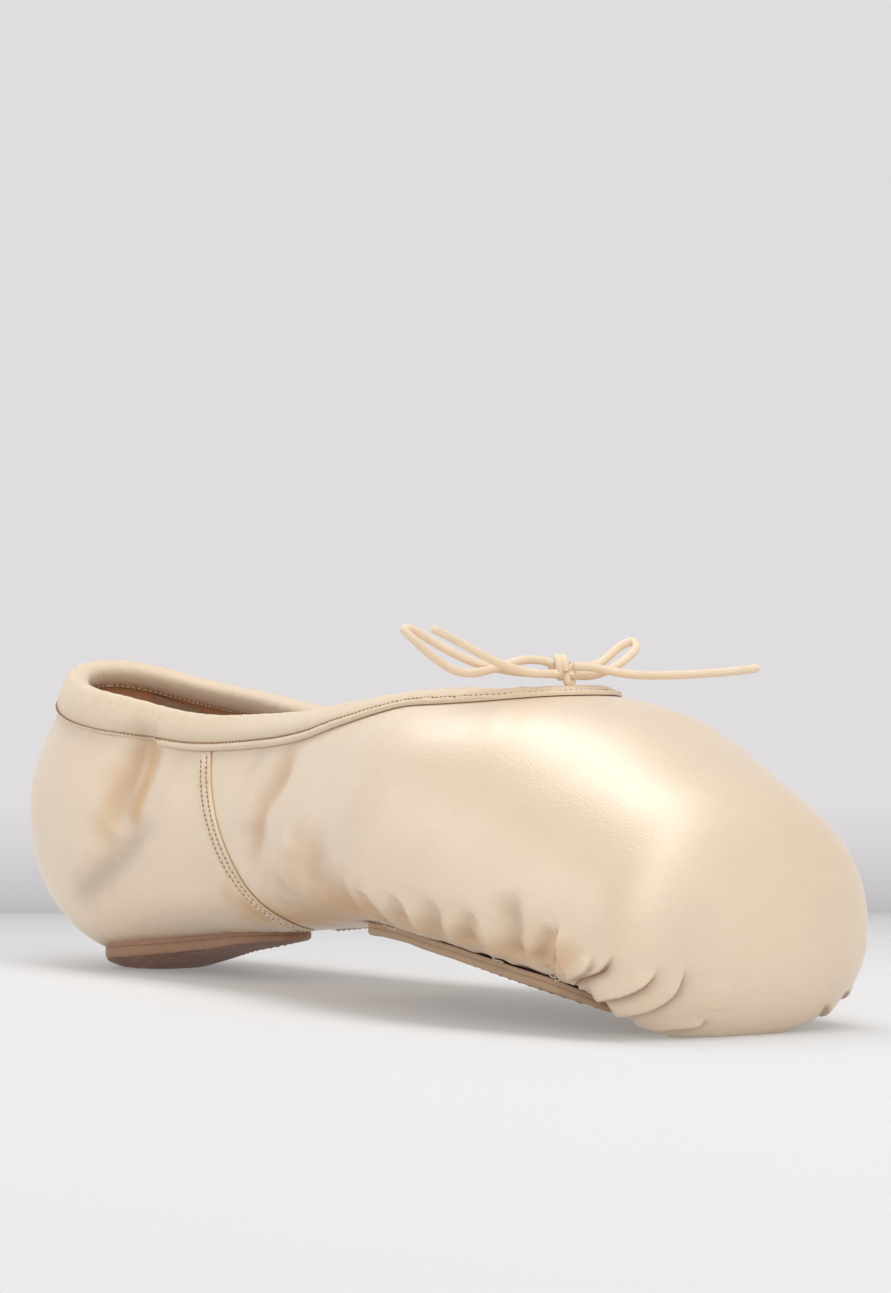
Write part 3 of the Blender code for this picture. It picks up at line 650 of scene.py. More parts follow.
def from_line(points, ways, line):
    """Distance of each point from a line, which side it lies on and how far along it is."""
    best = np.full(len(points), np.inf)
    side = np.ones(len(points))
    along = np.zeros(len(points))
    for k in range(len(line) - 1):
        step = line[k + 1] - line[k]
        t = np.clip((points - line[k]) @ step / (step @ step), 0, 1)
        away = points - (line[k] + t[:, None] * step)
        distance = np.linalg.norm(away, axis=1)
        near = distance < best
        best[near] = distance[near]
        along[near] = (k + t[near]) / (len(line) - 1)
        side[near] = -np.sign((np.cross(step, away[near]) * ways[near]).sum(axis=1))
    return best, np.where(side == 0, 1, side), along


def crease_lines(creases):
    """Each crease with its smooth line on the last, once for each side that it lies on."""
    made = []
    for crease in creases:
        for side in (-1, 1) if crease.side == 0 else (crease.side,):
            line = smooth_line([at_girth(share, part, side) for share, part in crease.points], 18)
            made.append((crease, side, line))
    return made


def fan_lines():
    """Pleats that fan out under the toe, from the front end of the sole to the edge of the platform."""
    made = []
    middle = np.array([x_at(FRONT_SOLE[-1].share - 0.05), 0.0])
    for k, turn in enumerate(np.linspace(-1.15, 1.15, 11)):
        reach = (0.0125, 0.0245 - 0.003 * (k % 2) - 0.002 * cos(2 * turn))
        places = [middle + r * np.array([cos(turn), 1.35 * sin(turn)]) for r in np.linspace(*reach, 5)]
        line = smooth_line([(x, y, underside(x, y)) for x, y in places], 12)
        made.append((Crease(0, [], 0.38, 0.30, 1.1, 0.25, 1 if k % 2 else -1), 1, line))
    return made


# Dents as a factor of the creases' depth, and millimetres over which painted shade darkens a crease's line
# and hollow
DENT_STRENGTH = 1.2
FOLD_SHADE = 0.42
FOLD_EDGE = 0.20
FOLD_HOLLOW = 0.50
FOLD_REACH = 1.5
PLEAT_LINES = crease_lines(PLEATS) + fan_lines()
DENT_LINES = crease_lines(DENTS)


def crease_relief(points, ways):
    """How far the main creases raise or sink the satin, and the painted shade along their lines, in their
    troughs and in the dents.
    """
    height = np.zeros(len(points))
    dark = np.zeros(len(points))
    for crease, side, line in PLEAT_LINES + DENT_LINES:
        reach = 4.5 * crease.width * MILLIMETRE
        middle = line.mean(axis=0)
        radius = np.linalg.norm(line - middle, axis=1).max() + reach
        near = np.flatnonzero(np.linalg.norm(points - middle, axis=1) < radius)
        if not len(near):
            continue
        distance, turn, along = from_line(points[near], ways[near], line)
        distance = distance / MILLIMETRE
        if crease.sharp:
            signed = distance * turn * crease.turn * -side
            fade = ease(along, 0.0, 0.30) * (1 - 0.5 * ease(along, 0.85, 1.0))
            fade *= ease(reach / MILLIMETRE - distance, 0, 1.0)
            over = 0.5 + 0.5 * np.tanh(signed / crease.sharp)
            flap = crease.flap * np.exp(-((signed / (1.6 * crease.width)) ** 2)) * over
            trough = crease.depth * np.exp(-(np.abs(signed) / crease.width) ** 1.3) * (1 - over)
            height[near] += (flap - trough) * fade
            # Painted shade: a dark line at the step and a softer hollow on the trough side
            spread = np.where(signed < 0, FOLD_SHADE, FOLD_EDGE)
            line_dark = np.exp(-(np.clip(np.abs(signed + 0.1) - 0.12, 0, None) / spread) ** 2)
            hollow = FOLD_HOLLOW * np.exp(-((signed / FOLD_REACH) ** 2)) * (1 - over)
            strength = ease(crease.depth, 0.40, 0.70)
            dark[near] = np.maximum(dark[near], np.maximum(line_dark, hollow) * fade * strength)
        else:
            fade = ease(along, 0.0, 0.25) * (1 - ease(along, 0.75, 1.0) * 0.7)
            bowl = np.exp(-((distance / crease.width) ** 2))
            height[near] -= DENT_STRENGTH * crease.depth * bowl * fade
            # Painted shade in the bowl of a dent
            dark[near] = np.maximum(dark[near], 0.30 * max(crease.depth, 0) * bowl * fade)
    return height * MILLIMETRE * sizes().crease_depth, dark


def sole_distance(points, rows, rounds):
    """Plan distance of each point outside a sole outline, below zero inside, and the way along it."""
    loop = outline_loop(rows, rounds, 120)
    run = np.concatenate([[0], np.cumsum(np.linalg.norm(np.diff(loop, axis=0), axis=1))])
    best = np.full(len(points), np.inf)
    along = np.zeros(len(points))
    for k, place in enumerate(loop):
        distance = np.hypot(points[:, 0] - place[0], points[:, 1] - place[1])
        near = distance < best
        best[near] = distance[near]
        along[near] = run[k]
    share, half = outline(rows, rounds, 120)
    limit = np.interp(share_at(points[:, 0]), share, half, left=-1, right=-1)
    return np.where(np.abs(points[:, 1]) < limit, -best, best), along


# How far the gathers and the channel reach from a sole's edge
GATHER_REACH = 0.0065
CHANNEL_REACH = 0.0013


def gather_wave(along, pitch):
    """Small uneven gathers along an edge, between -1 and 1."""
    turn = 2 * pi * along / pitch
    warp = 1.3 * np.sin(turn * 0.37 + 1.0) + 0.8 * np.sin(turn * 0.19 + 4.0)
    return 0.65 * np.sin(turn + warp) + 0.35 * np.sin(1.73 * turn + 1.7 * warp + 2.0)


def edge_relief(points):
    """Gathers and the sunk channel beside the soles, and the painted shade in the channel."""
    height = np.zeros(len(points))
    dark = np.zeros(len(points))
    _, bottom, belly, _ = section_sizes(share_at(points[:, 0]))
    low = 1 - ease((points[:, 2] - bottom) / (belly - bottom), 0.55, 0.95)
    share = share_at(points[:, 0])
    front_amount = 0.35 + 0.65 * ease(share, 0.56, 0.74)
    for rows, rounds, amount, channel, shade in (
        (FRONT_SOLE, FRONT_SOLE_ROUNDS, front_amount, front_amount, 0.95),
        (HEEL_SOLE, HEEL_SOLE_ROUNDS, 0.25, 0.0, 0.5),
    ):
        distance, along = sole_distance(points, rows, rounds)
        outside = np.clip(distance, 0, None)
        swell = np.exp(-((outside / GATHER_REACH) ** 2)) * amount * low
        height += sizes().gather_depth * gather_wave(along, sizes().gather_pitch) * swell
        sunk = np.exp(-((outside / CHANNEL_REACH) ** 2)) * low
        scallop = 0.8 + 0.2 * gather_wave(along, sizes().gather_pitch * 0.8)
        height -= sizes().channel_depth * channel * sunk * scallop
        # The channel's darkness is painted shade
        dark = np.maximum(dark, sunk * shade)
    return height, dark


def ripple(points):
    """Slow unevenness of a hand-lasted cloth, between about -1 and 1."""
    x, y, z = points.T / MILLIMETRE
    slow = np.sin(x / 7.3 + 1.9 * np.sin(z / 11.0) + 0.6) * np.cos(z / 6.1 + y / 9.7 + 0.8 * np.sin(x / 14.0))
    quick = np.sin(x / 3.1 + z / 4.3 + 2.0 * np.sin(y / 8.0)) * np.cos(z / 2.7 - x / 5.9)
    return 0.75 * slow + 0.25 * quick


# The satin under the back seam: how far it is raised, and half the ridge's width in millimetres
BACK_SEAM_RISE = 0.00022
BACK_SEAM_HALF = 1.3


def back_seam_relief(points):
    """The raised back seam, down the middle of the heel."""
    behind = 1 - ease(share_at(points[:, 0]), 0.09, 0.12)
    across = np.abs(points[:, 1]) / MILLIMETRE
    return BACK_SEAM_RISE * np.exp(-((across / BACK_SEAM_HALF) ** 4)) * behind


def relief(points, ways):
    """How far the satin stands off the last, and the painted shade in its creases, dents and channels."""
    crease, dark = crease_relief(points, ways)
    edge, edge_dark = edge_relief(points)
    waves = ripple(points) * sizes().ripple * (0.5 + 0.5 * ease(points[:, 2], 0.002, 0.02))
    tip = 1 - ease(share_at(points[:, 0]), 0.992, 0.9995)
    return (crease + edge + waves + back_seam_relief(points)) * tip, np.maximum(dark, edge_dark)


def on_satin(points, lift):
    """Points of the last moved onto the satin that covers it, and a lift above it."""
    ways = normals(points)
    height, _ = relief(points, ways)
    return points + ways * (height + lift)[:, None], ways


def stain_and_shade_amount(points, markings):
    """How strongly each point takes the marks of a table: stains, and in the warm table also painted shade.
    """
    amount = np.zeros(len(points))
    x, _, z = points.T / MILLIMETRE
    ragged = 1 + 0.28 * np.sin(x / 1.9 + 1.3 * np.sin(z / 2.3)) * np.cos(z / 1.7 - x / 3.7)
    for marking in markings:
        for side in (-1, 1) if marking.side == 0 else (marking.side,):
            line = smooth_line([at_girth(share, part, side) for share, part in marking.points], 10)
            distance, _, _ = from_line(points, np.ones_like(points), line)
            blot = np.exp(-((distance * ragged / (marking.width * MILLIMETRE)) ** 2))
            amount = np.maximum(amount, marking.strength * blot)
    return amount


def piece(name, mesh, finishes, stands_for=()):
    """An object that rides on the shoe, with its finishes and the solids that it stands for."""
    made = bpy.data.objects.new(name, mesh)
    for finish in finishes:
        mesh.materials.append(finish)
    bpy.context.scene.collection.objects.link(made)
    if stands_for:
        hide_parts(*stands_for)
    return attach(made, "root")


def merge(mesh, near=1e-6, short=1e-6):
    """Merges near vertices, clears short edges, turns the faces outward and shades them smooth."""
    shape = bmesh.new()
    shape.from_mesh(mesh)
    bmesh.ops.remove_doubles(shape, verts=shape.verts, dist=near)
    bmesh.ops.dissolve_degenerate(shape, edges=shape.edges, dist=short)
    bmesh.ops.recalc_face_normals(shape, faces=shape.faces)
    shape.to_mesh(mesh)
    shape.free()
    mesh.shade_smooth()


def mesh_of(name, vertices, faces, sharp=SHARP_EDGE):
    """A smooth mesh from vertices and faces, with equal vertices merged and the faces turned outward."""
    mesh = bpy.data.meshes.new(name)
    mesh.from_pydata([tuple(v) for v in vertices], [], faces)
    merge(mesh)
    mesh.set_sharp_from_angle(angle=sharp)
    return mesh


def ring_faces(count, size, closed):
    """Faces of a skin over rings of equal point counts, capped unless it closes on itself."""
    faces = []
    for i in range(count if closed else count - 1):
        after = (i + 1) % count
        for j in range(size):
            k = (j + 1) % size
            faces.append((i * size + j, after * size + j, after * size + k, i * size + k))
    if not closed:
        faces.append(tuple(range(size)))
        faces.append(tuple((count - 1) * size + j for j in range(size)))
    return faces


def tube(line, radius, size):
    """Rings and faces of a round tube along a line, with a radius for each point."""
    line = np.asarray(line)
    radius = np.broadcast_to(radius, len(line))
    along = unit(np.gradient(line, axis=0))
    across = unit(np.cross(along, [0.13, 0.21, 0.97]))
    other = np.cross(along, across)
    turn = np.linspace(0, 2 * pi, size, endpoint=False)
    rings = [
        line[k] + radius[k] * (np.outer(np.cos(turn), across[k]) + np.outer(np.sin(turn), other[k]))
        for k in range(len(line))
    ]
    return np.concatenate(rings), ring_faces(len(line), size, False)


def join(parts):
    """One list of vertices and faces from several."""
    vertices, faces, start = [], [], 0
    for points, polygons in parts:
        vertices.append(points)
        faces += [tuple(start + v for v in polygon) for polygon in polygons]
        start += len(points)
    return np.concatenate(vertices), faces


def stitches(line, ways, pitch, length, radius):
    """Short rounded stitches along a line, sunk a little at both ends."""
    run = np.concatenate([[0], np.cumsum(np.linalg.norm(np.diff(line, axis=0), axis=1))])
    parts = []
    for start in np.arange(pitch / 2, run[-1] - length, pitch):
        at = start + np.linspace(0, length, 5)
        middle = np.stack([np.interp(at, run, line[:, k]) for k in range(3)], axis=-1)
        way = np.stack([np.interp(at, run, ways[:, k]) for k in range(3)], axis=-1)
        arch = np.array([-0.9, 0.0, 0.35, 0.0, -0.9])[:, None] * radius
        parts.append(tube(middle + unit(way) * arch, radius * np.array([0.45, 0.95, 1.05, 0.95, 0.45]), 6))
    return join(parts)


def floats(mesh, name, values):
    """A number on each vertex, for a material to read."""
    attribute = mesh.attributes.new(name, "FLOAT", "POINT")
    attribute.data.foreach_set("value", np.asarray(values, dtype=np.float32))


# Node groups and materials

def group(name, inputs, outputs):
    """An empty shader node group with named inputs and outputs."""
    made = bpy.data.node_groups.new(name, "ShaderNodeTree")
    for label, kind, default in inputs:
        socket = made.interface.new_socket(name=label, in_out="INPUT", socket_type=kind)
        if default is not None:
            socket.default_value = default
    for label, kind in outputs:
        made.interface.new_socket(name=label, in_out="OUTPUT", socket_type=kind)
    return made, made.nodes.new("NodeGroupInput"), made.nodes.new("NodeGroupOutput")


class Wires:
    """Short ways to place and join the nodes of one tree."""

    def __init__(self, tree):
        self.tree = tree

    def node(self, kind, **values):
        """A node with some of its settings and inputs."""
        made = self.tree.nodes.new(kind)
        for key, value in values.items():
            if hasattr(made, key):
                setattr(made, key, value)
            else:
                made.inputs[key.replace("_", " ")].default_value = value
        return made

    def link(self, source, target):
        """Joins two sockets."""
        self.tree.links.new(source, target)

    def math(self, operation, first, second=None, third=None):
        """The output of a math node over sockets and numbers."""
        made = self.tree.nodes.new("ShaderNodeMath")
        made.operation = operation
        for slot, value in zip(made.inputs, (first, second, third)):
            if value is None:
                continue
            if isinstance(value, (int, float)):
                slot.default_value = value
            else:
                self.link(value, slot)
        return made.outputs[0]

    def mix(self, factor, first, second, blend="MIX"):
        """A colour mixed from two sockets or colours."""
        made = self.tree.nodes.new("ShaderNodeMix")
        made.data_type = "RGBA"
        made.blend_type = blend
        for slot, value in zip((made.inputs[0], made.inputs[6], made.inputs[7]), (factor, first, second)):
            if isinstance(value, (int, float)):
                slot.default_value = value
            elif isinstance(value, bpy.types.NodeSocket):
                self.link(value, slot)
            else:
                slot.default_value = (*value, 1)
        return made.outputs[2]

    def noise(self, vector, scale, detail=2.0, rough=0.5):
        """The value of a noise texture."""
        made = self.tree.nodes.new("ShaderNodeTexNoise")
        made.inputs["Scale"].default_value = scale
        made.inputs["Detail"].default_value = detail
        made.inputs["Roughness"].default_value = rough
        self.link(vector, made.inputs["Vector"])
        return made.outputs["Fac"]

    def ramp(self, value, low, high):
        """A value stretched so that low becomes 0 and high becomes 1."""
        made = self.tree.nodes.new("ShaderNodeMapRange")
        made.inputs["From Min"].default_value = low
        made.inputs["From Max"].default_value = high
        self.link(value, made.inputs["Value"])
        return made.outputs["Result"]

    def stretch(self, vector, scale):
        """A vector with each direction scaled."""
        made = self.tree.nodes.new("ShaderNodeVectorMath")
        made.operation = "MULTIPLY"
        made.inputs[1].default_value = scale
        self.link(vector, made.inputs[0])
        return made.outputs[0]


def weave_group():
    """Satin weave: fine slanted ribs with long silky streaks, in object space."""
    made, source, target = group(
        "satin_weave",
        [("Cloth", "NodeSocketVector", None), ("Pitch", "NodeSocketFloat", 0.0004)],
        [("Height", "NodeSocketFloat"), ("Streak", "NodeSocketFloat")],
    )
    wires = Wires(made)
    parts = wires.node("ShaderNodeSeparateXYZ")
    wires.link(source.outputs["Cloth"], parts.inputs[0])
    slant = wires.math("MULTIPLY_ADD", parts.outputs["X"], 0.45, parts.outputs["Z"])
    wobble = wires.noise(wires.stretch(source.outputs["Cloth"], (220, 220, 220)), 1.0, 2.0)
    even = wires.math("DIVIDE", slant, source.outputs["Pitch"])
    place = wires.math("ADD", even, wires.math("MULTIPLY", wobble, 1.6))
    ribs = wires.math("MULTIPLY_ADD", wires.math("SINE", wires.math("MULTIPLY", place, 2 * pi)), 0.5, 0.5)
    streak = wires.noise(wires.stretch(source.outputs["Cloth"], (420, 2000, 2400)), 1.0, 3.0, 0.6)
    grain = wires.noise(wires.stretch(source.outputs["Cloth"], (1500, 1500, 1500)), 1.0, 2.0, 0.6)
    soft = wires.math("MULTIPLY_ADD", streak, 0.9, wires.math("MULTIPLY", grain, 0.9))
    wires.link(wires.math("MULTIPLY_ADD", ribs, 0.16, soft), target.inputs["Height"])
    wires.link(streak, target.inputs["Streak"])
    return made


def tone_group():
    """Uneven tone: slow and quick blotches in object space."""
    made, source, target = group(
        "uneven_tone",
        [("Place", "NodeSocketVector", None), ("Size", "NodeSocketFloat", 0.02)],
        [("Slow", "NodeSocketFloat"), ("Quick", "NodeSocketFloat")],
    )
    wires = Wires(made)
    scaled = wires.node("ShaderNodeVectorMath", operation="DIVIDE")
    wires.link(source.outputs["Place"], scaled.inputs[0])
    wires.link(source.outputs["Size"], scaled.inputs[1])
    wires.link(wires.ramp(wires.noise(scaled.outputs[0], 1.0, 3.0, 0.55), 0.3, 0.7), target.inputs["Slow"])
    wires.link(wires.ramp(wires.noise(scaled.outputs[0], 7.0, 4.0, 0.6), 0.3, 0.7), target.inputs["Quick"])
    return made


def leather_group():
    """Leather: nap and pits, with lighter scuffs along one direction."""
    made, source, target = group(
        "leather_nap",
        [("Place", "NodeSocketVector", None), ("Grain", "NodeSocketFloat", 0.0006)],
        [("Height", "NodeSocketFloat"), ("Scuff", "NodeSocketFloat"), ("Pit", "NodeSocketFloat")],
    )
    wires = Wires(made)
    scaled = wires.node("ShaderNodeVectorMath", operation="DIVIDE")
    wires.link(source.outputs["Place"], scaled.inputs[0])
    wires.link(source.outputs["Grain"], scaled.inputs[1])
    nap = wires.noise(scaled.outputs[0], 1.0, 5.0, 0.65)
    cells = wires.node("ShaderNodeTexVoronoi")
    cells.inputs["Scale"].default_value = 0.45
    wires.link(scaled.outputs[0], cells.inputs["Vector"])
    scuff = wires.noise(wires.stretch(source.outputs["Place"], (130, 620, 620)), 1.0, 4.0, 0.65)
    wires.link(wires.math("MULTIPLY_ADD", cells.outputs["Distance"], 0.4, nap), target.inputs["Height"])
    wires.link(wires.ramp(scuff, 0.48, 0.68), target.inputs["Scuff"])
    wires.link(wires.ramp(nap, 0.35, 0.65), target.inputs["Pit"])
    return made


def shared_group(name, make):
    """A node group of the file, made the first time it is asked for."""
    return bpy.data.node_groups.get(name) or make()


def start_material(name, roughness, sheen=0.0, specular=0.5):
    """A material with its shader's plain values, its wires and the shader."""
    made = bpy.data.materials.new(name)
    made.use_nodes = True
    shader = made.node_tree.nodes["Principled BSDF"]
    shader.inputs["Roughness"].default_value = roughness
    shader.inputs["Sheen Weight"].default_value = sheen
    shader.inputs["Sheen Roughness"].default_value = 0.45
    shader.inputs["Specular IOR Level"].default_value = specular
    return made, Wires(made.node_tree), shader


def place_group(wires, made, **values):
    """A node that holds a shared group, with its own values."""
    node = wires.node("ShaderNodeGroup")
    node.node_tree = made
    for key, value in values.items():
        node.inputs[key].default_value = value
    return node


def bump(wires, shader, height, distance, strength=1.0):
    """A bump that feeds the shader's normal."""
    node = wires.node("ShaderNodeBump")
    node.inputs["Distance"].default_value = distance
    node.inputs["Strength"].default_value = strength
    wires.link(height, node.inputs["Height"])
    wires.link(node.outputs["Normal"], shader.inputs["Normal"])
    return node


def attribute(wires, name):
    """A number that the mesh carries."""
    return wires.node("ShaderNodeAttribute", attribute_name=name).outputs["Fac"]


# Painted shade of the satin at the bottom of a pleat, dent or channel
PAINTED_FOLD_SHADE_COLOUR = (0.27, 0.115, 0.04)


def satin_material():
    """Peach satin: silky weave with painted shade in its folds, warm stains that also paint shade low on the
    sides, and grey stains.
    """
    made, wires, shader = start_material("peach_satin", 0.36, sheen=0.10, specular=0.7)
    shader.inputs["Metallic"].default_value = 0.10
    shader.inputs["Coat Roughness"].default_value = 0.36
    place = wires.node("ShaderNodeTexCoord").outputs["Object"]
    weave = place_group(wires, shared_group("satin_weave", weave_group), Pitch=sizes().weave_pitch)
    wires.link(place, weave.inputs["Cloth"])
    tone = place_group(wires, shared_group("uneven_tone", tone_group), Size=0.022)
    wires.link(place, tone.inputs["Place"])
    deep = tuple(colours().satin_deep)
    colour = wires.mix(wires.math("MULTIPLY", tone.outputs["Slow"], 0.16), tuple(colours().satin), deep)
    streaked = wires.math("MULTIPLY", wires.ramp(weave.outputs["Streak"], 0.35, 0.65), 0.07)
    colour = wires.mix(streaked, colour, deep)
    blotchy = wires.math("MULTIPLY_ADD", tone.outputs["Quick"], 0.15, 0.75)
    # warm: stains together with the painted warm shade of the lower sides; grey: stains
    for name, marking in (("warm", colours().warm_stain_and_shade), ("grey", colours().grey_stain)):
        amount = wires.math("MULTIPLY", attribute(wires, name), blotchy)
        colour = wires.mix(amount, colour, tuple(marking))
    # Painted shade of the creases, dents and channels
    painted_fold_shade = wires.math("MULTIPLY", attribute(wires, "painted_fold_shade"), 0.95)
    colour = wires.mix(painted_fold_shade, colour, PAINTED_FOLD_SHADE_COLOUR)
    wires.link(colour, shader.inputs["Base Color"])
    rough = wires.math("MULTIPLY_ADD", weave.outputs["Streak"], 0.10, 0.36)
    worn = wires.math("MULTIPLY_ADD", attribute(wires, "grey"), 0.2, wires.math("MULTIPLY", painted_fold_shade, 0.4))
    wires.link(wires.math("ADD", worn, rough), shader.inputs["Roughness"])
    # The painted shade and the warm marks also thin the coat, so that these places stay deep and saturated
    dull = wires.math("MAXIMUM", painted_fold_shade, wires.math("MULTIPLY", attribute(wires, "warm"), 0.75))
    wires.link(wires.math("MULTIPLY", wires.math("SUBTRACT", 1.0, dull), 0.80), shader.inputs["Coat Weight"])
    bump(wires, shader, weave.outputs["Height"], 0.00009, 0.80)
    return made


def cloth_material(name, colour, deep, roughness, rib, depth, sheen=0.3, soil="", shift=0.5):
    """A plain woven cotton with an uneven tone and fine ribs."""
    made, wires, shader = start_material(name, roughness, sheen=sheen, specular=0.3)
    place = wires.node("ShaderNodeTexCoord").outputs["Object"]
    tone = place_group(wires, shared_group("uneven_tone", tone_group), Size=0.012)
    wires.link(place, tone.inputs["Place"])
    mixed = wires.mix(wires.math("MULTIPLY", tone.outputs["Slow"], shift), colour, deep)
    mixed = wires.mix(wires.math("MULTIPLY", tone.outputs["Quick"], 0.12), mixed, deep)
    if soil:
        mixed = wires.mix(attribute(wires, soil), mixed, tuple(c * 0.8 for c in deep))
    wires.link(mixed, shader.inputs["Base Color"])
    fine = wires.noise(wires.stretch(place, (1 / rib, 1 / rib, 0.35 / rib)), 1.0, 4.0, 0.65)
    coarse = wires.noise(wires.stretch(place, (0.3 / rib, 0.3 / rib, 0.5 / rib)), 1.0, 2.0)
    bump(wires, shader, wires.math("MULTIPLY_ADD", coarse, 0.6, fine), depth, 0.6)
    return made


def leather_material(name, colour, edge, roughness, grain, worn, strength):
    """Leather with a napped face, scuffs and a lighter cut edge."""
    made, wires, shader = start_material(name, roughness, sheen=0.15, specular=0.25)
    place = wires.node("ShaderNodeTexCoord").outputs["Object"]
    nap = place_group(wires, shared_group("leather_nap", leather_group), Grain=grain)
    wires.link(place, nap.inputs["Place"])
    tone = place_group(wires, shared_group("uneven_tone", tone_group), Size=0.014)
    wires.link(place, tone.inputs["Place"])
    dark = tuple(c * 0.45 for c in colour)
    mixed = wires.mix(wires.math("MULTIPLY", tone.outputs["Slow"], 0.5), colour, dark)
    mixed = wires.mix(wires.math("MULTIPLY", nap.outputs["Pit"], 0.25), mixed, dark)
    mixed = wires.mix(wires.math("MULTIPLY", nap.outputs["Scuff"], strength), mixed, worn)
    rim = wires.math("MULTIPLY_ADD", tone.outputs["Quick"], -0.25, 0.95)
    mixed = wires.mix(wires.math("MULTIPLY", attribute(wires, "edge"), rim), mixed, edge)
    mixed = wires.mix(attribute(wires, "layer"), mixed, tuple(c * 0.3 for c in colour))
    wires.link(mixed, shader.inputs["Base Color"])
    bump(wires, shader, nap.outputs["Height"], 0.00012, 0.7)
    return made


def thread_material(name, colour):
    """Twisted sewing thread."""
    made, wires, shader = start_material(name, 0.6, sheen=0.2, specular=0.3)
    place = wires.node("ShaderNodeTexCoord").outputs["Object"]
    twist = wires.noise(wires.stretch(place, (3000, 3000, 5200)), 1.0, 2.0)
    wires.link(wires.mix(twist, colour, tuple(c * 0.6 for c in colour)), shader.inputs["Base Color"])
    bump(wires, shader, twist, 0.00004, 0.6)
    return made


# The upper

def upper_grid():
    """Points of the last's whole surface, a row for each station from the heel to the tip."""
    row = girth_rows()
    shares = np.concatenate(
        [
            lay_evenly(0.0, HEEL_EDGE, HEEL_STATIONS)[:-1],
            lay_evenly(HEEL_EDGE, THROAT, COLLAR_STATIONS),
            lay_evenly(THROAT, 1.0, BOX_STATIONS)[1:],
        ]
    )
    right = np.array([girth(share, row) for share in shares])
    left = right * np.array([1, -1, 1])
    return np.concatenate([left[:, :0:-1], right], axis=1)


def skin_faces(rows, width, start, turned):
    """Quads of a grid of points."""
    faces = []
    for i in range(rows - 1):
        for j in range(width - 1):
            a, b = start + i * width + j, start + i * width + j + 1
            faces.append((a, a + width, b + width, b) if turned else (a, b, b + width, a + width))
    return faces


def make_upper():
    """The satin upper: pleated outer skin and canvas inner skin of the last, joined along the collar line."""
    base = upper_grid()
    rows, width = base.shape[:2]
    flat = base.reshape(-1, 3)
    ways = normals(flat)
    height, dark = relief(flat, ways)
    outer = on_floor(flat + ways * height[:, None])
    coarse = base[::INNER_STEP, ::INNER_STEP]
    inner_rows, inner_width = coarse.shape[:2]
    sunk = np.minimum(height.reshape(rows, width)[::INNER_STEP, ::INNER_STEP], 0)
    depth = wall(share_at(coarse[..., 0])) - sunk
    inner = (coarse - normals(coarse) * depth[..., None]).reshape(-1, 3)
    start = rows * width
    faces = skin_faces(rows, width, 0, False)
    outer_count = len(faces)
    faces += skin_faces(inner_rows, inner_width, start, True)
    for i in range(HEEL_STATIONS // INNER_STEP, (HEEL_STATIONS + COLLAR_STATIONS) // INNER_STEP):
        for j, k in ((0, 0), (width - 1, inner_width - 1)):
            fine = [(i * INNER_STEP + step) * width + j for step in range(INNER_STEP + 1)]
            near, far = start + i * inner_width + k, start + (i + 1) * inner_width + k
            faces.append(tuple(fine + [far, near]))
    mesh = bpy.data.meshes.new("satin_upper")
    mesh.from_pydata([tuple(v) for v in np.concatenate([outer, inner])], [], faces)
    finish = np.zeros(len(faces), dtype=np.int32)
    finish[outer_count:] = 1
    mesh.polygons.foreach_set("material_index", finish)
    none = np.zeros(len(inner))
    # Painted shade of the creases, dents and the channel beside the soles
    floats(mesh, "painted_fold_shade", np.concatenate([dark, none]))
    # Warm stains together with the painted warm shade of the lower sides
    floats(mesh, "warm", np.concatenate([stain_and_shade_amount(flat, WARM_STAINS_AND_SHADE), none]))
    floats(mesh, "grey", np.concatenate([stain_and_shade_amount(flat, GREY_STAINS), none]))
    merge(mesh, short=1e-7)
    canvas = tuple(colours().lining)
    lining = cloth_material("canvas_lining", canvas, tuple(c * 0.7 for c in canvas), 0.85, 0.0007, 0.0003)
    upper = piece("satin_upper", mesh, [satin_material(), lining], ["upper"])
    cut_openings(upper)
    return upper


def cut_openings(upper):
    """Opens the upper under the two soles, inside their outlines by the overlap."""
    cutters = []
    for name, rows, rounds in (
        ("front_opening", FRONT_SOLE, FRONT_SOLE_ROUNDS),
        ("heel_opening", HEEL_SOLE, HEEL_SOLE_ROUNDS),
    ):
        loop = outline_loop(rows, rounds, 60, SOLE_OVERLAP)
        share, _ = outline(rows, rounds, 60, SOLE_OVERLAP)
        _, bottom, belly, _ = section_sizes(share)
        top = float(np.max(bottom + (belly - bottom) * CUTTER_REACH))
        rings = [np.column_stack([loop, np.full(len(loop), height)]) for height in (-CUTTER_DROP, top)]
        mesh = mesh_of(name, np.concatenate(rings), ring_faces(2, len(loop), False))
        cutter = bpy.data.objects.new(name, mesh)
        bpy.context.scene.collection.objects.link(cutter)
        cut = upper.modifiers.new(name, "BOOLEAN")
        cut.operation = "DIFFERENCE"
        cut.solver = "MANIFOLD"
        cut.object = cutter
        cutters.append(cutter)
    evaluated = upper.evaluated_get(bpy.context.evaluated_depsgraph_get())
    cut_mesh = bpy.data.meshes.new_from_object(evaluated)
    upper.modifiers.clear()
    upper.data = cut_mesh
    cut_mesh.shade_smooth()
    cut_mesh.set_sharp_from_angle(angle=SHARP_CUT_EDGE)
    for cutter in cutters:
        bpy.data.objects.remove(cutter)


# Collar tape and seams

def collar_loop(count):
    """The collar line as a closed loop, from the heel along the right side to the throat and back."""
    shares = lay_evenly(HEEL_EDGE, THROAT, 240)
    right = np.array([on_section(share, 1.0) for share in shares])
    loop = np.concatenate([right, right[-2:0:-1] * np.array([1, -1, 1]), right[:1]])
    run = np.concatenate([[0], np.cumsum(np.linalg.norm(np.diff(loop, axis=0), axis=1))])
    at = np.linspace(0, run[-1], count, endpoint=False)
    return np.stack([np.interp(at, run, loop[:, k]) for k in range(3)], axis=-1), at


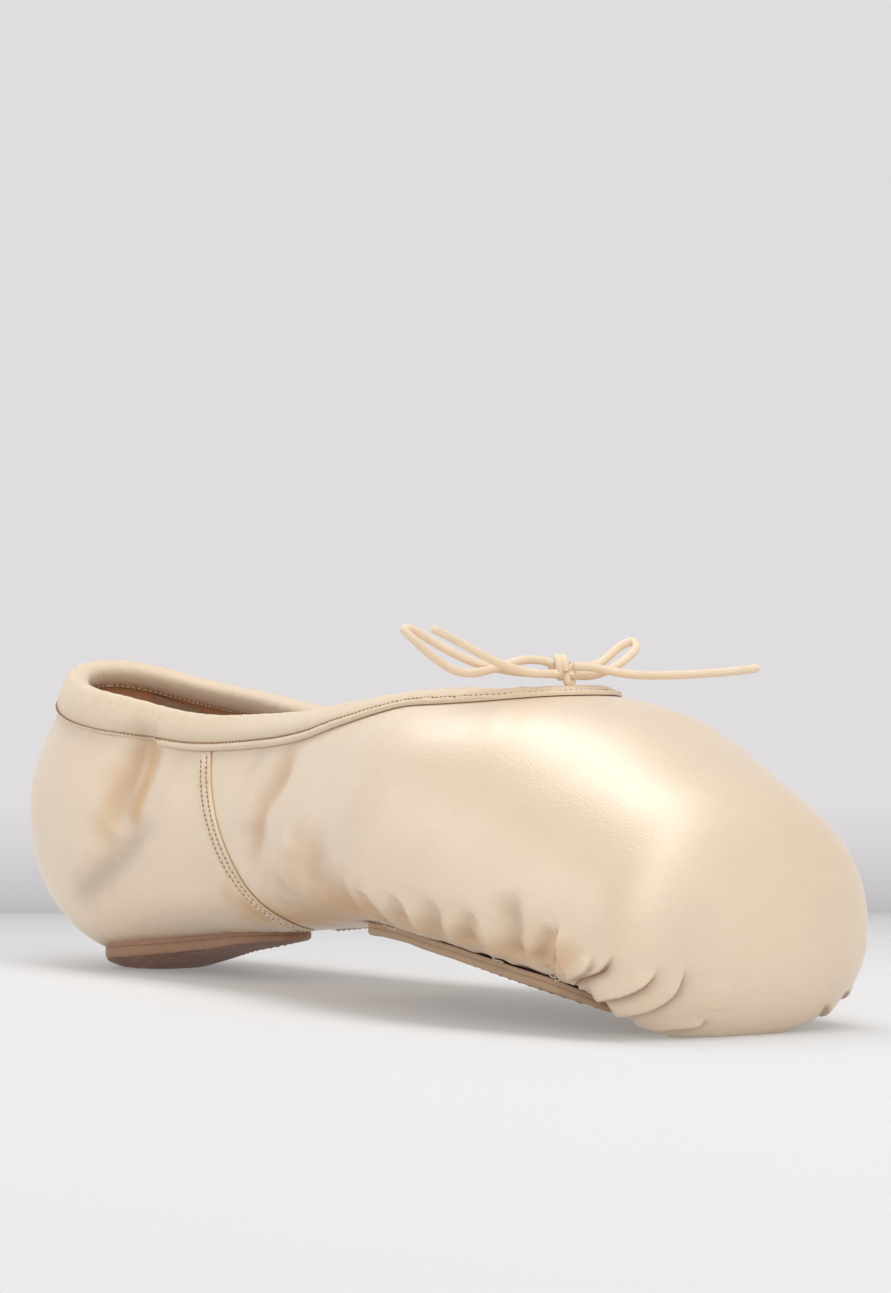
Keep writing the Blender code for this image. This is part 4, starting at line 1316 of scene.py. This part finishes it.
# Rows of the tape's outer face. down: part of the tape's depth. lip: part of the folded lip below
# the stitches. thick: part of the tape's thickness. pucker: how much the row puckers.
TapeRow = namedtuple("TapeRow", "down lip thick pucker")
TAPE_ROWS = [
    TapeRow(0.92, 1.00, 0.25, 0.3),
    TapeRow(0.92, 0.85, 0.62, 0.5),
    TapeRow(0.92, 0.50, 0.75, 0.6),
    TapeRow(0.92, 0.18, 0.58, 0.7),
    TapeRow(0.92, 0.00, 0.34, 0.2),
    TapeRow(0.87, 0.00, 0.58, 0.7),
    TapeRow(0.80, 0.00, 0.85, 1.0),
    TapeRow(0.68, 0.00, 1.10, 0.8),
    TapeRow(0.52, 0.00, 1.25, 0.5),
    TapeRow(0.34, 0.00, 1.28, 0.4),
    TapeRow(0.16, 0.00, 1.18, 0.5),
]
LIP_BACK = 0.0005
LIP_FRONT = 0.0014
LIP_LIFT = 0.20
KNOT_SHARE = 0.685
KNOT_REACH = 0.035
TAPE_STATIONS = 520
TAPE_JOIN = 0.262


def tape_waves(along):
    """Uneven puckers along the tape, between about -1 and 1."""
    return gather_wave(along, 0.0055) * (0.7 + 0.3 * np.sin(along / 0.021))


def tape_depth(share):
    """How deep the tape reaches down the outside, less toward the throat."""
    return HEEL_BINDING_DEPTH + (THROAT_BINDING_DEPTH - HEEL_BINDING_DEPTH) * ease(share, 0.2, 0.5)


def make_collar():
    """The folded collar tape, padded by the drawstring inside it, with its lip, puckers and stitches."""
    line, run = collar_loop(TAPE_STATIONS)
    along = unit(np.roll(line, -1, axis=0) - np.roll(line, 1, axis=0))
    share = share_at(line[:, 0])
    depth = tape_depth(share)[:, None]
    reach = 1 - LIP_LIFT * ease(share, TAPE_JOIN - 0.09, TAPE_JOIN)[:, None]
    lip = (LIP_BACK + (LIP_FRONT - LIP_BACK) * ease(share, TAPE_JOIN - 0.004, TAPE_JOIN + 0.006))[:, None]
    swell = np.exp(-(((share - KNOT_SHARE) / KNOT_REACH) ** 2))[:, None]
    waves = tape_waves(run)[:, None] * sizes().pucker * (1 + 1.5 * swell)
    thick = BINDING_THICKNESS
    way = normals(line)
    up = np.cross(way, along)
    inside = wall(share)[:, None] + LINING_GAP
    ring, groove = [], None
    join_dip = np.exp(-((share - TAPE_JOIN) * LENGTH / 0.0007) ** 2)[:, None] * (line[:, 1:2] < 0) * 0.0003
    for tape_row in TAPE_ROWS:
        place = down_from(line, along, depth * reach * tape_row.down + lip * tape_row.lip)
        normal = normals(place)
        height, _ = relief(place, normal)
        settle = ease(tape_row.down, 0.1, 0.9)
        raised = GAP + thick * tape_row.thick + waves * tape_row.pucker + height[:, None] * settle - join_dip
        ring.append(place + normal * raised)
        if tape_row.lip == 0 and groove is None:
            groove = (place + normal * (raised + 0.00016), normal)
    thin = thick * (1 + 0.25 * waves / sizes().pucker)
    rise = BINDING_RISE * (1 + 0.9 * swell) + 0.6 * waves
    ring += [
        line + way * (GAP + thin),
        line + up * rise * 0.45 + way * (GAP + thin * 0.85),
        line + up * rise * 0.8 + way * (GAP + thin * 0.35),
        line + up * rise * 0.98 - way * inside * 0.2,
        line + up * rise - way * inside * 0.5,
        line + up * rise * 0.98 - way * inside * 0.8,
        line + up * rise * 0.8 - way * (inside + thin * 0.35),
        line + up * rise * 0.4 - way * (inside + thin * 0.8),
        line - way * (inside + thin),
    ]
    inner_rows = [(0.12, 1.05), (0.25, 0.95), (0.34, 0.55), (0.38, 0.35), (0.43, 0.5), (0.47, 0.2)]
    seat = None
    for part, amount in inner_rows:
        place = down_from(line, along, depth * part)
        normal = normals(place)
        inward = wall(share_at(place[:, 0]))[:, None] + LINING_GAP
        ring.append(place - normal * (inward + thick * amount + waves * 0.5))
        if part == 0.38:
            seat = (place - normal * (inward + thick * amount + 0.0001), -normal)
    for part in (0.47, 0.22):
        place = down_from(line, along, depth * part)
        normal = normals(place)
        ring.append(place - normal * (wall(share_at(place[:, 0]))[:, None] + GAP * 0.5))
    ring += [line - way * inside, line + up * GAP - way * inside, line + up * GAP + way * GAP * 0.5]
    for part in (0.0, 0.34, 0.68):
        place = down_from(line, along, depth * reach * part)
        normal = normals(place)
        height, _ = relief(place, normal)
        ring.append(place + normal * (GAP * 0.6 + height[:, None] * ease(part, 0.1, 0.9)))
    place = down_from(line, along, depth * reach * 0.92 + lip)
    normal = normals(place)
    height, _ = relief(place, normal)
    ring.append(place + normal * (GAP * 0.5 + height[:, None]))
    sections = np.stack(ring, axis=1)
    mesh = mesh_of("collar_tape", sections.reshape(-1, 3), ring_faces(len(sections), sections.shape[1], True))
    places = np.array([v.co for v in mesh.vertices])
    from_join = (share_at(places[:, 0]) - TAPE_JOIN + 0.02) * LENGTH
    near_join = np.exp(-((from_join / 0.005) ** 2)) * (places[:, 1] < 0)
    low_on_tape = 1 - ease(places[:, 2], 0.0475, 0.0520)
    floats(mesh, "soil", near_join * low_on_tape * 0.7)
    tape = cloth_material(
        "collar_cotton", tuple(colours().tape), tuple(colours().tape_deep), 0.72, 0.00035, 0.00016,
        soil="soil", shift=0.28,
    )
    piece("collar_tape", mesh, [tape], ["collar_binding"])
    thread = thread_material("tape_thread", tuple(c * 1.3 for c in colours().thread))
    for name, (row_line, row_ways) in (("collar_stitches_outer", groove), ("collar_stitches_inner", seat)):
        closed = np.concatenate([row_line, row_line[:1]])
        closed_ways = np.concatenate([row_ways, row_ways[:1]])
        vertices, faces = stitches(closed, closed_ways, sizes().tape_stitch, 0.00062, 0.00022)
        piece(name, mesh_of(name, vertices, faces), [thread])


# Rows across a seam. across: part of the half width. high: part of the thickness
SeamRow = namedtuple("SeamRow", "across high")
SEAM_ROWS = [
    SeamRow(-1.00, 0.25),
    SeamRow(-0.88, 0.85),
    SeamRow(-0.72, 0.95),
    SeamRow(-0.46, 0.40),
    SeamRow(-0.28, 0.80),
    SeamRow(0.00, 0.90),
    SeamRow(0.28, 0.80),
    SeamRow(0.46, 0.40),
    SeamRow(0.72, 0.95),
    SeamRow(0.88, 0.85),
    SeamRow(1.00, 0.25),
]


def seam_pieces(name, middle, width, finish, thread, stands_for):
    """A raised stitched seam over the satin along a line on the last."""
    middle = press(middle)
    along = unit(np.gradient(middle, axis=0))
    across = unit(np.cross(normals(middle), along))
    run = np.concatenate([[0], np.cumsum(np.linalg.norm(np.diff(middle, axis=0), axis=1))])
    lumps = 1 + 0.35 * gather_wave(run, sizes().seam_stitch * 1.7)
    lumps *= 1 - 0.85 * ease(run / run[-1], 0.80, 0.97)
    high, rows = [], {}
    for seam_row in SEAM_ROWS:
        place = press(middle + across * width / 2 * seam_row.across)
        raised, ways = on_satin(place, GAP * 0.4 + SEAM_THICKNESS * 0.9 * seam_row.high * lumps)
        high.append(raised)
        rows[seam_row.across] = (raised, ways)
    low = []
    for part in (1.0, 0.5, 0.0, -0.5, -1.0):
        place = press(middle + across * width / 2 * part)
        low.append(on_satin(place, np.full(len(place), GAP * 0.3))[0])
    sections = np.stack(high + low, axis=1)
    mesh = mesh_of(name, sections.reshape(-1, 3), ring_faces(len(sections), sections.shape[1], False))
    piece(name, mesh, [finish], stands_for)
    parts = []
    for across_at in (-0.46, 0.46):
        line, ways = rows[across_at]
        parts.append(stitches(line + ways * 0.00007, ways, sizes().seam_stitch, 0.00074, 0.00017))
    vertices, faces = join(parts)
    rows_mesh = mesh_of(name + "_stitches", vertices, faces)
    piece(name.replace("seam", "seam_stitches"), rows_mesh, [thread])


def make_seams():
    """The two side seams and the back seam, each a raised join with a stitch row on both sides."""
    finish = cloth_material(
        "seam_satin", tuple(colours().satin), tuple(colours().satin_deep), 0.45, 0.0004, 0.00012, shift=0.45
    )
    thread = thread_material("seam_thread", tuple(c * 1.25 for c in colours().thread))
    run = np.linspace(0, 1, 130)
    places = list(zip(column(SIDE_SEAM, "at", run), column(SIDE_SEAM, "up", run)))
    for name, side in (("side_seam_right", 1), ("side_seam_left", -1)):
        middle = np.array([on_section(at, up) for at, up in places]) * np.array([1, side, 1])
        seam_pieces(name, middle, SEAM_WIDTH * 1.2, finish, thread, [name])
    top = [at_girth(share, 1.0, -1) for share in HEEL_EDGE * np.linspace(0.90, 0, 24) ** 2]
    foot = [at_girth(share, 0.0, -1) for share in 0.098 * np.linspace(0.12, 1, 34) ** 2]
    middle = smooth_line(np.array(top + foot), 90)
    middle[:, 1] = 1e-7
    seam_pieces("back_seam", middle, SEAM_WIDTH * 0.8, finish, thread, [])


# Soles and insole

def sole_rings(rows, rounds, thickness, tuck, profile, count):
    """Rings of a leather sole from the middle of its top over its edge to the middle of its underside."""
    loop = outline_loop(rows, rounds, count)
    along = unit(np.roll(loop, -1, axis=0) - np.roll(loop, 1, axis=0))
    outward = np.stack([along[:, 1], -along[:, 0]], axis=-1)
    outward *= np.sign((outward * (loop - loop.mean(axis=0))).sum(axis=1).mean())
    lowest = column(rows, "thickness", share_at(loop[:, 0])) * thickness
    rings, edges, layers = [], [], []
    inner = loop - outward * profile[0][0]
    fills = np.sin(np.linspace(0.0, pi / 2, 14))
    for part in fills[:-1]:
        place = inner * [1, part]
        rings.append(np.column_stack([place, underside(*place.T) + tuck]))
        edges.append(0.0)
        layers.append(0.0)
    for inset, drop, layer in profile:
        place = loop - outward * inset
        top = underside(*place.T) + tuck
        full = tuck + SOLE_GAP + lowest
        rings.append(np.column_stack([place, top - drop * full]))
        edges.append(1.0)
        layers.append(layer)
    inner = loop - outward * profile[-1][0]
    for part in fills[:-1][::-1]:
        place = inner * [1, part]
        drop = column(rows, "thickness", share_at(place[:, 0])) * thickness
        rings.append(np.column_stack([place, underside(*place.T) - SOLE_GAP - drop]))
        edges.append(0.0)
        layers.append(0.0)
    return rings, edges, layers


# How far each leather reaches up into the satin, and the front leather's thickness where it is pared
FRONT_TUCK = 0.0
HEEL_TUCK = 0.0004
PARED_THICKNESS = 0.0019

# Edge of a sole from top to bottom: how far in, how far down as a part of the thickness, and how
# dark a layer line is
SOLE_EDGE = [
    (0.00045, 0.00, 0.2),
    (0.00012, 0.07, 0.0),
    (0.00000, 0.20, 0.0),
    (0.00002, 0.40, 0.1),
    (0.00009, 0.46, 0.45),
    (0.00002, 0.52, 0.1),
    (0.00000, 0.70, 0.0),
    (0.00010, 0.90, 0.0),
    (0.00045, 1.00, 0.0),
]


def make_sole(name, rows, rounds, thickness, tuck, finish, stands_for):
    """A leather sole with a rounded, layered cut edge and a slightly uneven face."""
    rings, edges, layers = sole_rings(rows, rounds, thickness, tuck, SOLE_EDGE, 110)
    size = len(rings[0])
    points = np.concatenate(rings)
    x, y = points[:, 0] / MILLIMETRE, points[:, 1] / MILLIMETRE
    uneven = 0.00005 * np.sin(x / 2.3 + np.sin(y / 3.1)) * np.cos(y / 2.9 + np.sin(x / 4.7))
    edge = np.repeat(edges, size)
    points[:, 2] += uneven * (points[:, 2] > 0.0006)
    points = on_floor(points)
    mesh = bpy.data.meshes.new(name)
    faces = ring_faces(len(rings), size, False)[:-2]
    for start in (0, (len(rings) - 1) * size):
        for j in range(size // 2):
            a, b = start + j, start + (j + 1)
            c, d = start + (size - j - 1) % size, start + (size - j) % size
            faces.append((a, b, c, d) if len({a, b, c, d}) == 4 else tuple(dict.fromkeys((a, b, c, d))))
    mesh.from_pydata([tuple(v) for v in points], [], [face for face in faces if len(face) > 2])
    floats(mesh, "edge", edge)
    floats(mesh, "layer", np.repeat(layers, size))
    merge(mesh, near=2e-6, short=2e-6)
    mesh.set_sharp_from_angle(angle=SHARP_SOLE_EDGE)
    return piece(name, mesh, [finish], stands_for)


def make_soles():
    """The split leather sole: a suede front sole and a scuffed heel sole."""
    suede = leather_material(
        "suede_leather", tuple(colours().suede), tuple(colours().suede_edge), 0.9, 0.00045,
        tuple(c * 1.5 for c in colours().suede), 0.35,
    )
    worn = leather_material(
        "worn_heel_leather", tuple(colours().heel_leather), tuple(colours().heel_edge), 0.72, 0.0006,
        (0.36, 0.19, 0.12), 0.55,
    )
    make_sole(
        "front_sole_leather", FRONT_SOLE, FRONT_SOLE_ROUNDS, PARED_THICKNESS, FRONT_TUCK,
        suede, ["front_sole"],
    )
    make_sole(
        "heel_sole_leather", HEEL_SOLE, HEEL_SOLE_ROUNDS, SOLE_THICKNESS, HEEL_TUCK,
        worn, ["heel_sole"],
    )
    thread = thread_material("channel_thread", tuple(colours().thread))
    for name, rows, rounds in (
        ("front_sole_stitches", FRONT_SOLE, FRONT_SOLE_ROUNDS),
        ("heel_sole_stitches", HEEL_SOLE, HEEL_SOLE_ROUNDS),
    ):
        loop = outline_loop(rows, rounds, 160, 0.0030)
        loop = np.concatenate([loop, loop[:1]])
        thickness = PARED_THICKNESS if rows is FRONT_SOLE else SOLE_THICKNESS
        depth = SOLE_GAP + thickness * column(rows, "thickness", share_at(loop[:, 0])) - 0.00006
        line = np.column_stack([loop, underside(*loop.T) - depth])
        line[:, 2] = np.maximum(line[:, 2], 0.00025)
        ways = np.tile([0.0, 0.0, -1.0], (len(line), 1))
        vertices, faces = stitches(line, ways, 0.0032, 0.0020, 0.00016)
        piece(name, mesh_of(name, vertices, faces), [thread])


def make_insole():
    """The insole keeps its solid and takes a matt leather finish."""
    made, wires, shader = start_material("insole_board", 0.85, sheen=0.1, specular=0.25)
    place = wires.node("ShaderNodeTexCoord").outputs["Object"]
    nap = place_group(wires, shared_group("leather_nap", leather_group), Grain=0.0008)
    wires.link(place, nap.inputs["Place"])
    tone = place_group(wires, shared_group("uneven_tone", tone_group), Size=0.02)
    wires.link(place, tone.inputs["Place"])
    deep = tuple(c * 0.6 for c in colours().insole)
    colour = wires.mix(wires.math("MULTIPLY", tone.outputs["Slow"], 0.6), tuple(colours().insole), deep)
    colour = wires.mix(wires.math("MULTIPLY", nap.outputs["Pit"], 0.3), colour, deep)
    wires.link(colour, shader.inputs["Base Color"])
    bump(wires, shader, nap.outputs["Height"], 0.0001, 0.6)
    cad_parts["insole"].data.materials[0] = made


# Loose threads along the sole's channel, from (share, part of the half girth): start, bend and end
LOOSE_THREADS = [
    [(0.640, 0.270), (0.650, 0.300), (0.664, 0.285)],
    [(0.648, 0.280), (0.655, 0.262), (0.668, 0.272)],
    [(0.655, 0.285), (0.668, 0.300), (0.676, 0.290)],
    [(0.876, 0.318), (0.884, 0.330), (0.893, 0.322)],
    [(0.880, 0.326), (0.886, 0.312), (0.896, 0.316)],
    [(0.815, 0.300), (0.822, 0.312), (0.829, 0.303)],
]


def make_loose_threads():
    """Frayed thread ends that stand out of the channel above the front sole."""
    thread = thread_material("loose_thread", tuple(colours().loose_thread))
    parts = []
    for points in LOOSE_THREADS:
        line = smooth_line([at_girth(share, part, -1) for share, part in points], 14)
        place, _ = on_satin(press(line), 0.0003 + 0.0005 * np.sin(np.linspace(0, pi, 14)))
        parts.append(tube(place, 0.00011, 6))
    vertices, faces = join(parts)
    piece("loose_threads", mesh_of("loose_threads", vertices, faces), [thread])


def make_inside():
    """A thin bare patch on the lining of the heel."""
    patch_colour = tuple(colours().patch)
    deep = tuple(c * 0.8 for c in patch_colour)
    finish = cloth_material("inside_patch", patch_colour, deep, 0.8, 0.0006, 0.0001)
    across, down = 26, 12
    share = np.linspace(0.056, 0.100, across + 1)
    part = np.linspace(0.800, 0.925, down + 1)
    grid = np.array([[on_section(s, p) * (1, -1, 1) for p in part] for s in share])
    way = normals(grid)
    inward = wall(share_at(grid[..., 0]))[..., None]
    top = grid - way * (inward + 0.00045)
    under = grid - way * (inward + 0.00012)
    count = (across + 1) * (down + 1)
    faces = skin_faces(across + 1, down + 1, 0, False) + skin_faces(across + 1, down + 1, count, True)
    rim = [i * (down + 1) for i in range(across + 1)] + [across * (down + 1) + j for j in range(1, down + 1)]
    rim += [i * (down + 1) + down for i in range(across - 1, -1, -1)] + list(range(down - 1, 0, -1))
    for k, a in enumerate(rim):
        b = rim[(k + 1) % len(rim)]
        faces.append((a, b, count + b, count + a))
    vertices = np.concatenate([top.reshape(-1, 3), under.reshape(-1, 3)])
    piece("inside_patch", mesh_of("inside_patch", vertices, faces), [finish])


# Bow

# Points along a wrap of the knot and along a free cord
WRAP_POINTS = 44
CORD_POINTS = 60


def cord_material():
    """Smooth drawn cotton cord."""
    made, wires, shader = start_material("cotton_cord", 0.62, sheen=0.35, specular=0.35)
    place = wires.node("ShaderNodeTexCoord").outputs["Object"]
    tone = place_group(wires, shared_group("uneven_tone", tone_group), Size=0.006)
    wires.link(place, tone.inputs["Place"])
    fibre = wires.noise(wires.stretch(place, (900, 500, 900)), 1.0, 2.0, 0.5)
    deep = tuple(c * 0.8 for c in colours().cord)
    colour = wires.mix(wires.math("MULTIPLY", tone.outputs["Slow"], 0.4), tuple(colours().cord), deep)
    colour = wires.mix(wires.math("MULTIPLY", fibre, 0.2), colour, deep)
    wires.link(colour, shader.inputs["Base Color"])
    bump(wires, shader, fibre, 0.00004, 0.4)
    return made


def wrap_line(middle, axis, tall, deep, turns, climb):
    """A cord wrapped around an axis: a flattened ring of some turns that climbs along the axis."""
    axis = unit(np.array(axis, dtype=float))
    side = unit(np.cross(axis, [0, 0, 1]))
    turn = np.linspace(0, 2 * pi * turns, WRAP_POINTS)
    offset = np.outer(np.cos(turn) * tall, [0, 0, 1]) + np.outer(np.sin(turn) * deep, side)
    return np.array(middle) + offset + np.outer(np.linspace(-0.5, 0.5, WRAP_POINTS) * climb, axis)


def make_bow():
    """The drawstring's bow: two loops, two ends and the wraps of its knot."""
    finish = cord_material()
    for cord in CORDS:
        curve = bpy.data.curves.new(cord.name + "_cord", "CURVE")
        curve.dimensions = "3D"
        route = smooth_line(cord.points, CORD_POINTS) * MILLIMETRE
        spline = curve.splines.new("POLY")
        spline.points.add(len(route) - 1)
        for k, (point, place) in enumerate(zip(spline.points, route)):
            point.co = (*place, 1)
            to_end = len(route) - 1 - k
            point.radius = 0.6 if to_end == 0 and cord.far_end == "bare" else 1.0
        curve.bevel_depth = CORD_DIAMETER / 2
        curve.bevel_resolution = 4
        curve.use_fill_caps = True
        curve.materials.append(finish)
        made = bpy.data.objects.new(cord.name + "_cord", curve)
        bpy.context.scene.collection.objects.link(made)
        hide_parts(cord.name)
        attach(made, "root")
    middle = np.array(KNOT_MIDDLE)
    axis = (0.551, 0.834, 0.0)
    radius = CORD_DIAMETER / 2 / MILLIMETRE
    wraps = [
        wrap_line(middle + (0.0, 0.0, 0.2), axis, 1.75, 1.25, 1.3, 1.5),
        wrap_line(middle + (0.9, 1.3, -1.9), (0.75, 0.55, -0.35), 1.05, 0.95, 1.15, 1.2),
        smooth_line([middle + (-1.2, -1.9, 0.6), middle + (-0.3, -0.4, -0.1), middle + (1.2, 1.6, 0.1)], 12),
        smooth_line([middle + (0.7, -2.0, -0.9), middle + (0.5, -0.2, -0.6), middle + (-0.3, 1.9, 0.3)], 12),
        smooth_line([middle + (-1.6, -1.7, -1.0), middle + (-0.2, 0.2, -1.2), middle + (0.6, 2.0, -1.3)], 12),
    ]
    shape = join([tube(line * MILLIMETRE, radius * MILLIMETRE * 0.96, 14) for line in wraps])
    piece("bow_knot", mesh_of("bow_knot", *shape), [finish], ["drawstring_knot"])


# Stage

CAMERA_TARGET = Vector((0.001, 0.0, 0.030))
CAMERA_AZIMUTH = radians(56.56)
CAMERA_ELEVATION = radians(3.246)
CAMERA_DISTANCE = 1.3
CAMERA_AIM_RIGHT = 0.008693
CAMERA_AIM_UP = 0.036635
CAMERA_LENS = 189.08
FLOOR_EDGE_DISTANCE = 1.53
FLOOR_EDGE_SOFTNESS = 0.20
FLOOR_EDGE_POWER = 0.45
BACKDROP_DARK = 0.66
BACKDROP_FADE = (-0.0676, -0.0515)
FLOOR_SIZE = 3.0
FLOOR_GLOW = 0.19


def camera_directions():
    """The camera's place, and its back, right and up directions toward the target."""
    back = Vector(
        (
            sin(CAMERA_AZIMUTH) * cos(CAMERA_ELEVATION),
            -cos(CAMERA_AZIMUTH) * cos(CAMERA_ELEVATION),
            sin(CAMERA_ELEVATION),
        )
    )
    right = (-back).cross(Vector((0, 0, 1))).normalized()
    up = right.cross(-back)
    return CAMERA_TARGET + back * CAMERA_DISTANCE, back, right, up


def make_camera():
    """The camera at the photo's angle to the shoe."""
    place, _, right, up = camera_directions()
    aim = CAMERA_TARGET + right * CAMERA_AIM_RIGHT + up * CAMERA_AIM_UP
    data = bpy.data.cameras.new("camera")
    data.lens = CAMERA_LENS
    data.sensor_width = 36
    data.sensor_fit = "AUTO"
    camera = bpy.data.objects.new("camera", data)
    camera.location = place
    camera.rotation_euler = (aim - place).to_track_quat("-Z", "Y").to_euler()
    bpy.context.scene.collection.objects.link(camera)
    bpy.context.scene.camera = camera


def make_floor():
    """A pale studio floor whose far edge fades into the backdrop."""
    place, back, _, _ = camera_directions()
    flat_back = Vector((back.x, back.y, 0)).normalized()
    edge = Vector((place.x, place.y, 0)) - flat_back * FLOOR_EDGE_DISTANCE
    across = Vector((-flat_back.y, flat_back.x, 0))
    corners = [
        edge + across * FLOOR_SIZE * aside + flat_back * FLOOR_SIZE * near
        for aside, near in ((-1, 0), (1, 0), (1, 1), (-1, 1))
    ]
    mesh = bpy.data.meshes.new("floor")
    mesh.from_pydata([tuple(c) for c in corners], [], [(0, 1, 2, 3)])
    made = bpy.data.materials.new("studio_floor")
    made.use_nodes = True
    wires = Wires(made.node_tree)
    shader = made.node_tree.nodes["Principled BSDF"]
    shader.inputs["Base Color"].default_value = (*colours().floor, 1)
    shader.inputs["Roughness"].default_value = 0.85
    shader.inputs["Specular IOR Level"].default_value = 0.2
    # The floor glows a little, painted light that lifts the shoe's shadow on it
    shader.inputs["Emission Color"].default_value = (1, 1, 1, 1)
    shader.inputs["Emission Strength"].default_value = FLOOR_GLOW
    position = wires.node("ShaderNodeNewGeometry").outputs["Position"]
    away = wires.node("ShaderNodeVectorMath", operation="DOT_PRODUCT")
    wires.link(position, away.inputs[0])
    away.inputs[1].default_value = tuple(flat_back)
    start = edge.dot(flat_back)
    fade = wires.ramp(away.outputs["Value"], start, start + FLOOR_EDGE_SOFTNESS)
    wires.link(wires.math("POWER", fade, FLOOR_EDGE_POWER), shader.inputs["Alpha"])
    mesh.materials.append(made)
    floor = bpy.data.objects.new("floor", mesh)
    bpy.context.scene.collection.objects.link(floor)


def make_light(name, place, target, size, power):
    """A soft white light at a place, turned to a target."""
    data = bpy.data.lights.new(name, "AREA")
    data.shape = "RECTANGLE"
    data.size, data.size_y = size
    data.energy = power
    light = bpy.data.objects.new(name, data)
    light.location = place
    light.rotation_euler = (Vector(target) - Vector(place)).to_track_quat("-Z", "Y").to_euler()
    bpy.context.scene.collection.objects.link(light)


def make_world():
    """White studio surroundings: the backdrop's colour to the camera, an even light to the shoe."""
    world = bpy.data.worlds.new("studio")
    bpy.context.scene.world = world
    world.use_nodes = True
    tree = world.node_tree
    tree.nodes.clear()
    wires = Wires(tree)
    parts = wires.node("ShaderNodeSeparateXYZ")
    wires.link(wires.node("ShaderNodeTexCoord").outputs["Generated"], parts.inputs[0])
    seen = tree.nodes.new("ShaderNodeBackground")
    deep = tuple(c * BACKDROP_DARK for c in colours().backdrop)
    lift = wires.ramp(parts.outputs["Z"], *BACKDROP_FADE)
    shade = wires.mix(wires.math("POWER", lift, 0.7), deep, tuple(colours().backdrop))
    wires.link(shade, seen.inputs["Color"])
    lit = tree.nodes.new("ShaderNodeBackground")
    overhead = wires.ramp(wires.math("ABSOLUTE", parts.outputs["Z"]), 0.1, 0.75)
    wires.link(wires.mix(overhead, (0.82, 0.82, 0.82), (0.40, 0.40, 0.40)), lit.inputs["Color"])
    path = tree.nodes.new("ShaderNodeLightPath")
    mixed = tree.nodes.new("ShaderNodeMixShader")
    target = tree.nodes.new("ShaderNodeOutputWorld")
    tree.links.new(path.outputs["Is Camera Ray"], mixed.inputs[0])
    tree.links.new(lit.outputs[0], mixed.inputs[1])
    tree.links.new(seen.outputs[0], mixed.inputs[2])
    tree.links.new(mixed.outputs[0], target.inputs["Surface"])


def make_stage():
    """Camera, floor, backdrop and soft studio lights."""
    scene = bpy.context.scene
    scene.view_settings.view_transform = "Standard"
    make_camera()
    make_world()
    make_floor()
    make_light("strip_light", (0.02, 0.02, 0.85), (0.02, 0.02, 0.0), (1.95, 0.40), 7.6)
    make_light("toe_light", (1.60, -0.60, 0.8), (0.02, 0, 0.03), (1.2, 0.9), 6.2)
    make_light("heel_light", (-0.80, -1.35, 0.45), (-0.05, 0, 0.03), (1.3, 0.8), 3.3)


# Operators, panel and registration

class SHOE_OT_stage(bpy.types.Operator):
    """Make the camera, the floor and the lights."""

    bl_idname = "shoe.stage"
    bl_label = "Stage"

    def execute(self, context):
        make_stage()
        return {"FINISHED"}


class SHOE_OT_bow(bpy.types.Operator):
    """Tie the drawstring's bow."""

    bl_idname = "shoe.bow"
    bl_label = "Bow"

    def execute(self, context):
        make_bow()
        return {"FINISHED"}


class SHOE_OT_upper(bpy.types.Operator):
    """Last the satin upper with its pleats, dents and stains."""

    bl_idname = "shoe.upper"
    bl_label = "Satin upper"

    def execute(self, context):
        make_upper()
        return {"FINISHED"}


class SHOE_OT_collar(bpy.types.Operator):
    """Sew the collar tape with its lip and stitches."""

    bl_idname = "shoe.collar"
    bl_label = "Collar tape"

    def execute(self, context):
        make_collar()
        return {"FINISHED"}


class SHOE_OT_seams(bpy.types.Operator):
    """Sew the side seams and the back seam."""

    bl_idname = "shoe.seams"
    bl_label = "Seams"

    def execute(self, context):
        make_seams()
        return {"FINISHED"}


class SHOE_OT_soles(bpy.types.Operator):
    """Cut the two leather soles and fray the threads beside them."""

    bl_idname = "shoe.soles"
    bl_label = "Soles"

    def execute(self, context):
        make_soles()
        make_loose_threads()
        return {"FINISHED"}


class SHOE_OT_inside(bpy.types.Operator):
    """Finish the insole and the lining."""

    bl_idname = "shoe.inside"
    bl_label = "Inside"

    def execute(self, context):
        make_insole()
        make_inside()
        return {"FINISHED"}


STEPS = ("stage", "bow", "upper", "collar", "seams", "soles", "inside")


class SHOE_PT_panel(bpy.types.Panel):
    """The shoe's sizes, colours and pieces."""

    bl_idname = "SHOE_PT_panel"
    bl_label = "Pointe shoe"
    bl_space_type = "VIEW_3D"
    bl_region_type = "UI"
    bl_category = "Shoe"

    def draw(self, context):
        for step in STEPS:
            self.layout.operator("shoe." + step)
        for settings in (context.scene.shoe_sizes, context.scene.shoe_colours):
            box = self.layout.box()
            for name in settings.__annotations__:
                box.prop(settings, name)


CLASSES = (
    ShoeSizes,
    ShoeColours,
    SHOE_OT_stage,
    SHOE_OT_bow,
    SHOE_OT_upper,
    SHOE_OT_collar,
    SHOE_OT_seams,
    SHOE_OT_soles,
    SHOE_OT_inside,
    SHOE_PT_panel,
)


def register():
    """Registers the classes and the scene's settings."""
    for made in CLASSES:
        bpy.utils.register_class(made)
    bpy.types.Scene.shoe_sizes = PointerProperty(type=ShoeSizes)
    bpy.types.Scene.shoe_colours = PointerProperty(type=ShoeColours)


def unregister():
    """Takes the classes and the settings out again."""
    del bpy.types.Scene.shoe_sizes
    del bpy.types.Scene.shoe_colours
    for made in reversed(CLASSES):
        bpy.utils.unregister_class(made)


def main():
    """Builds every piece in order."""
    register()
    for step in STEPS:
        getattr(bpy.ops.shoe, step)()


if __name__ == "__main__":
    main()
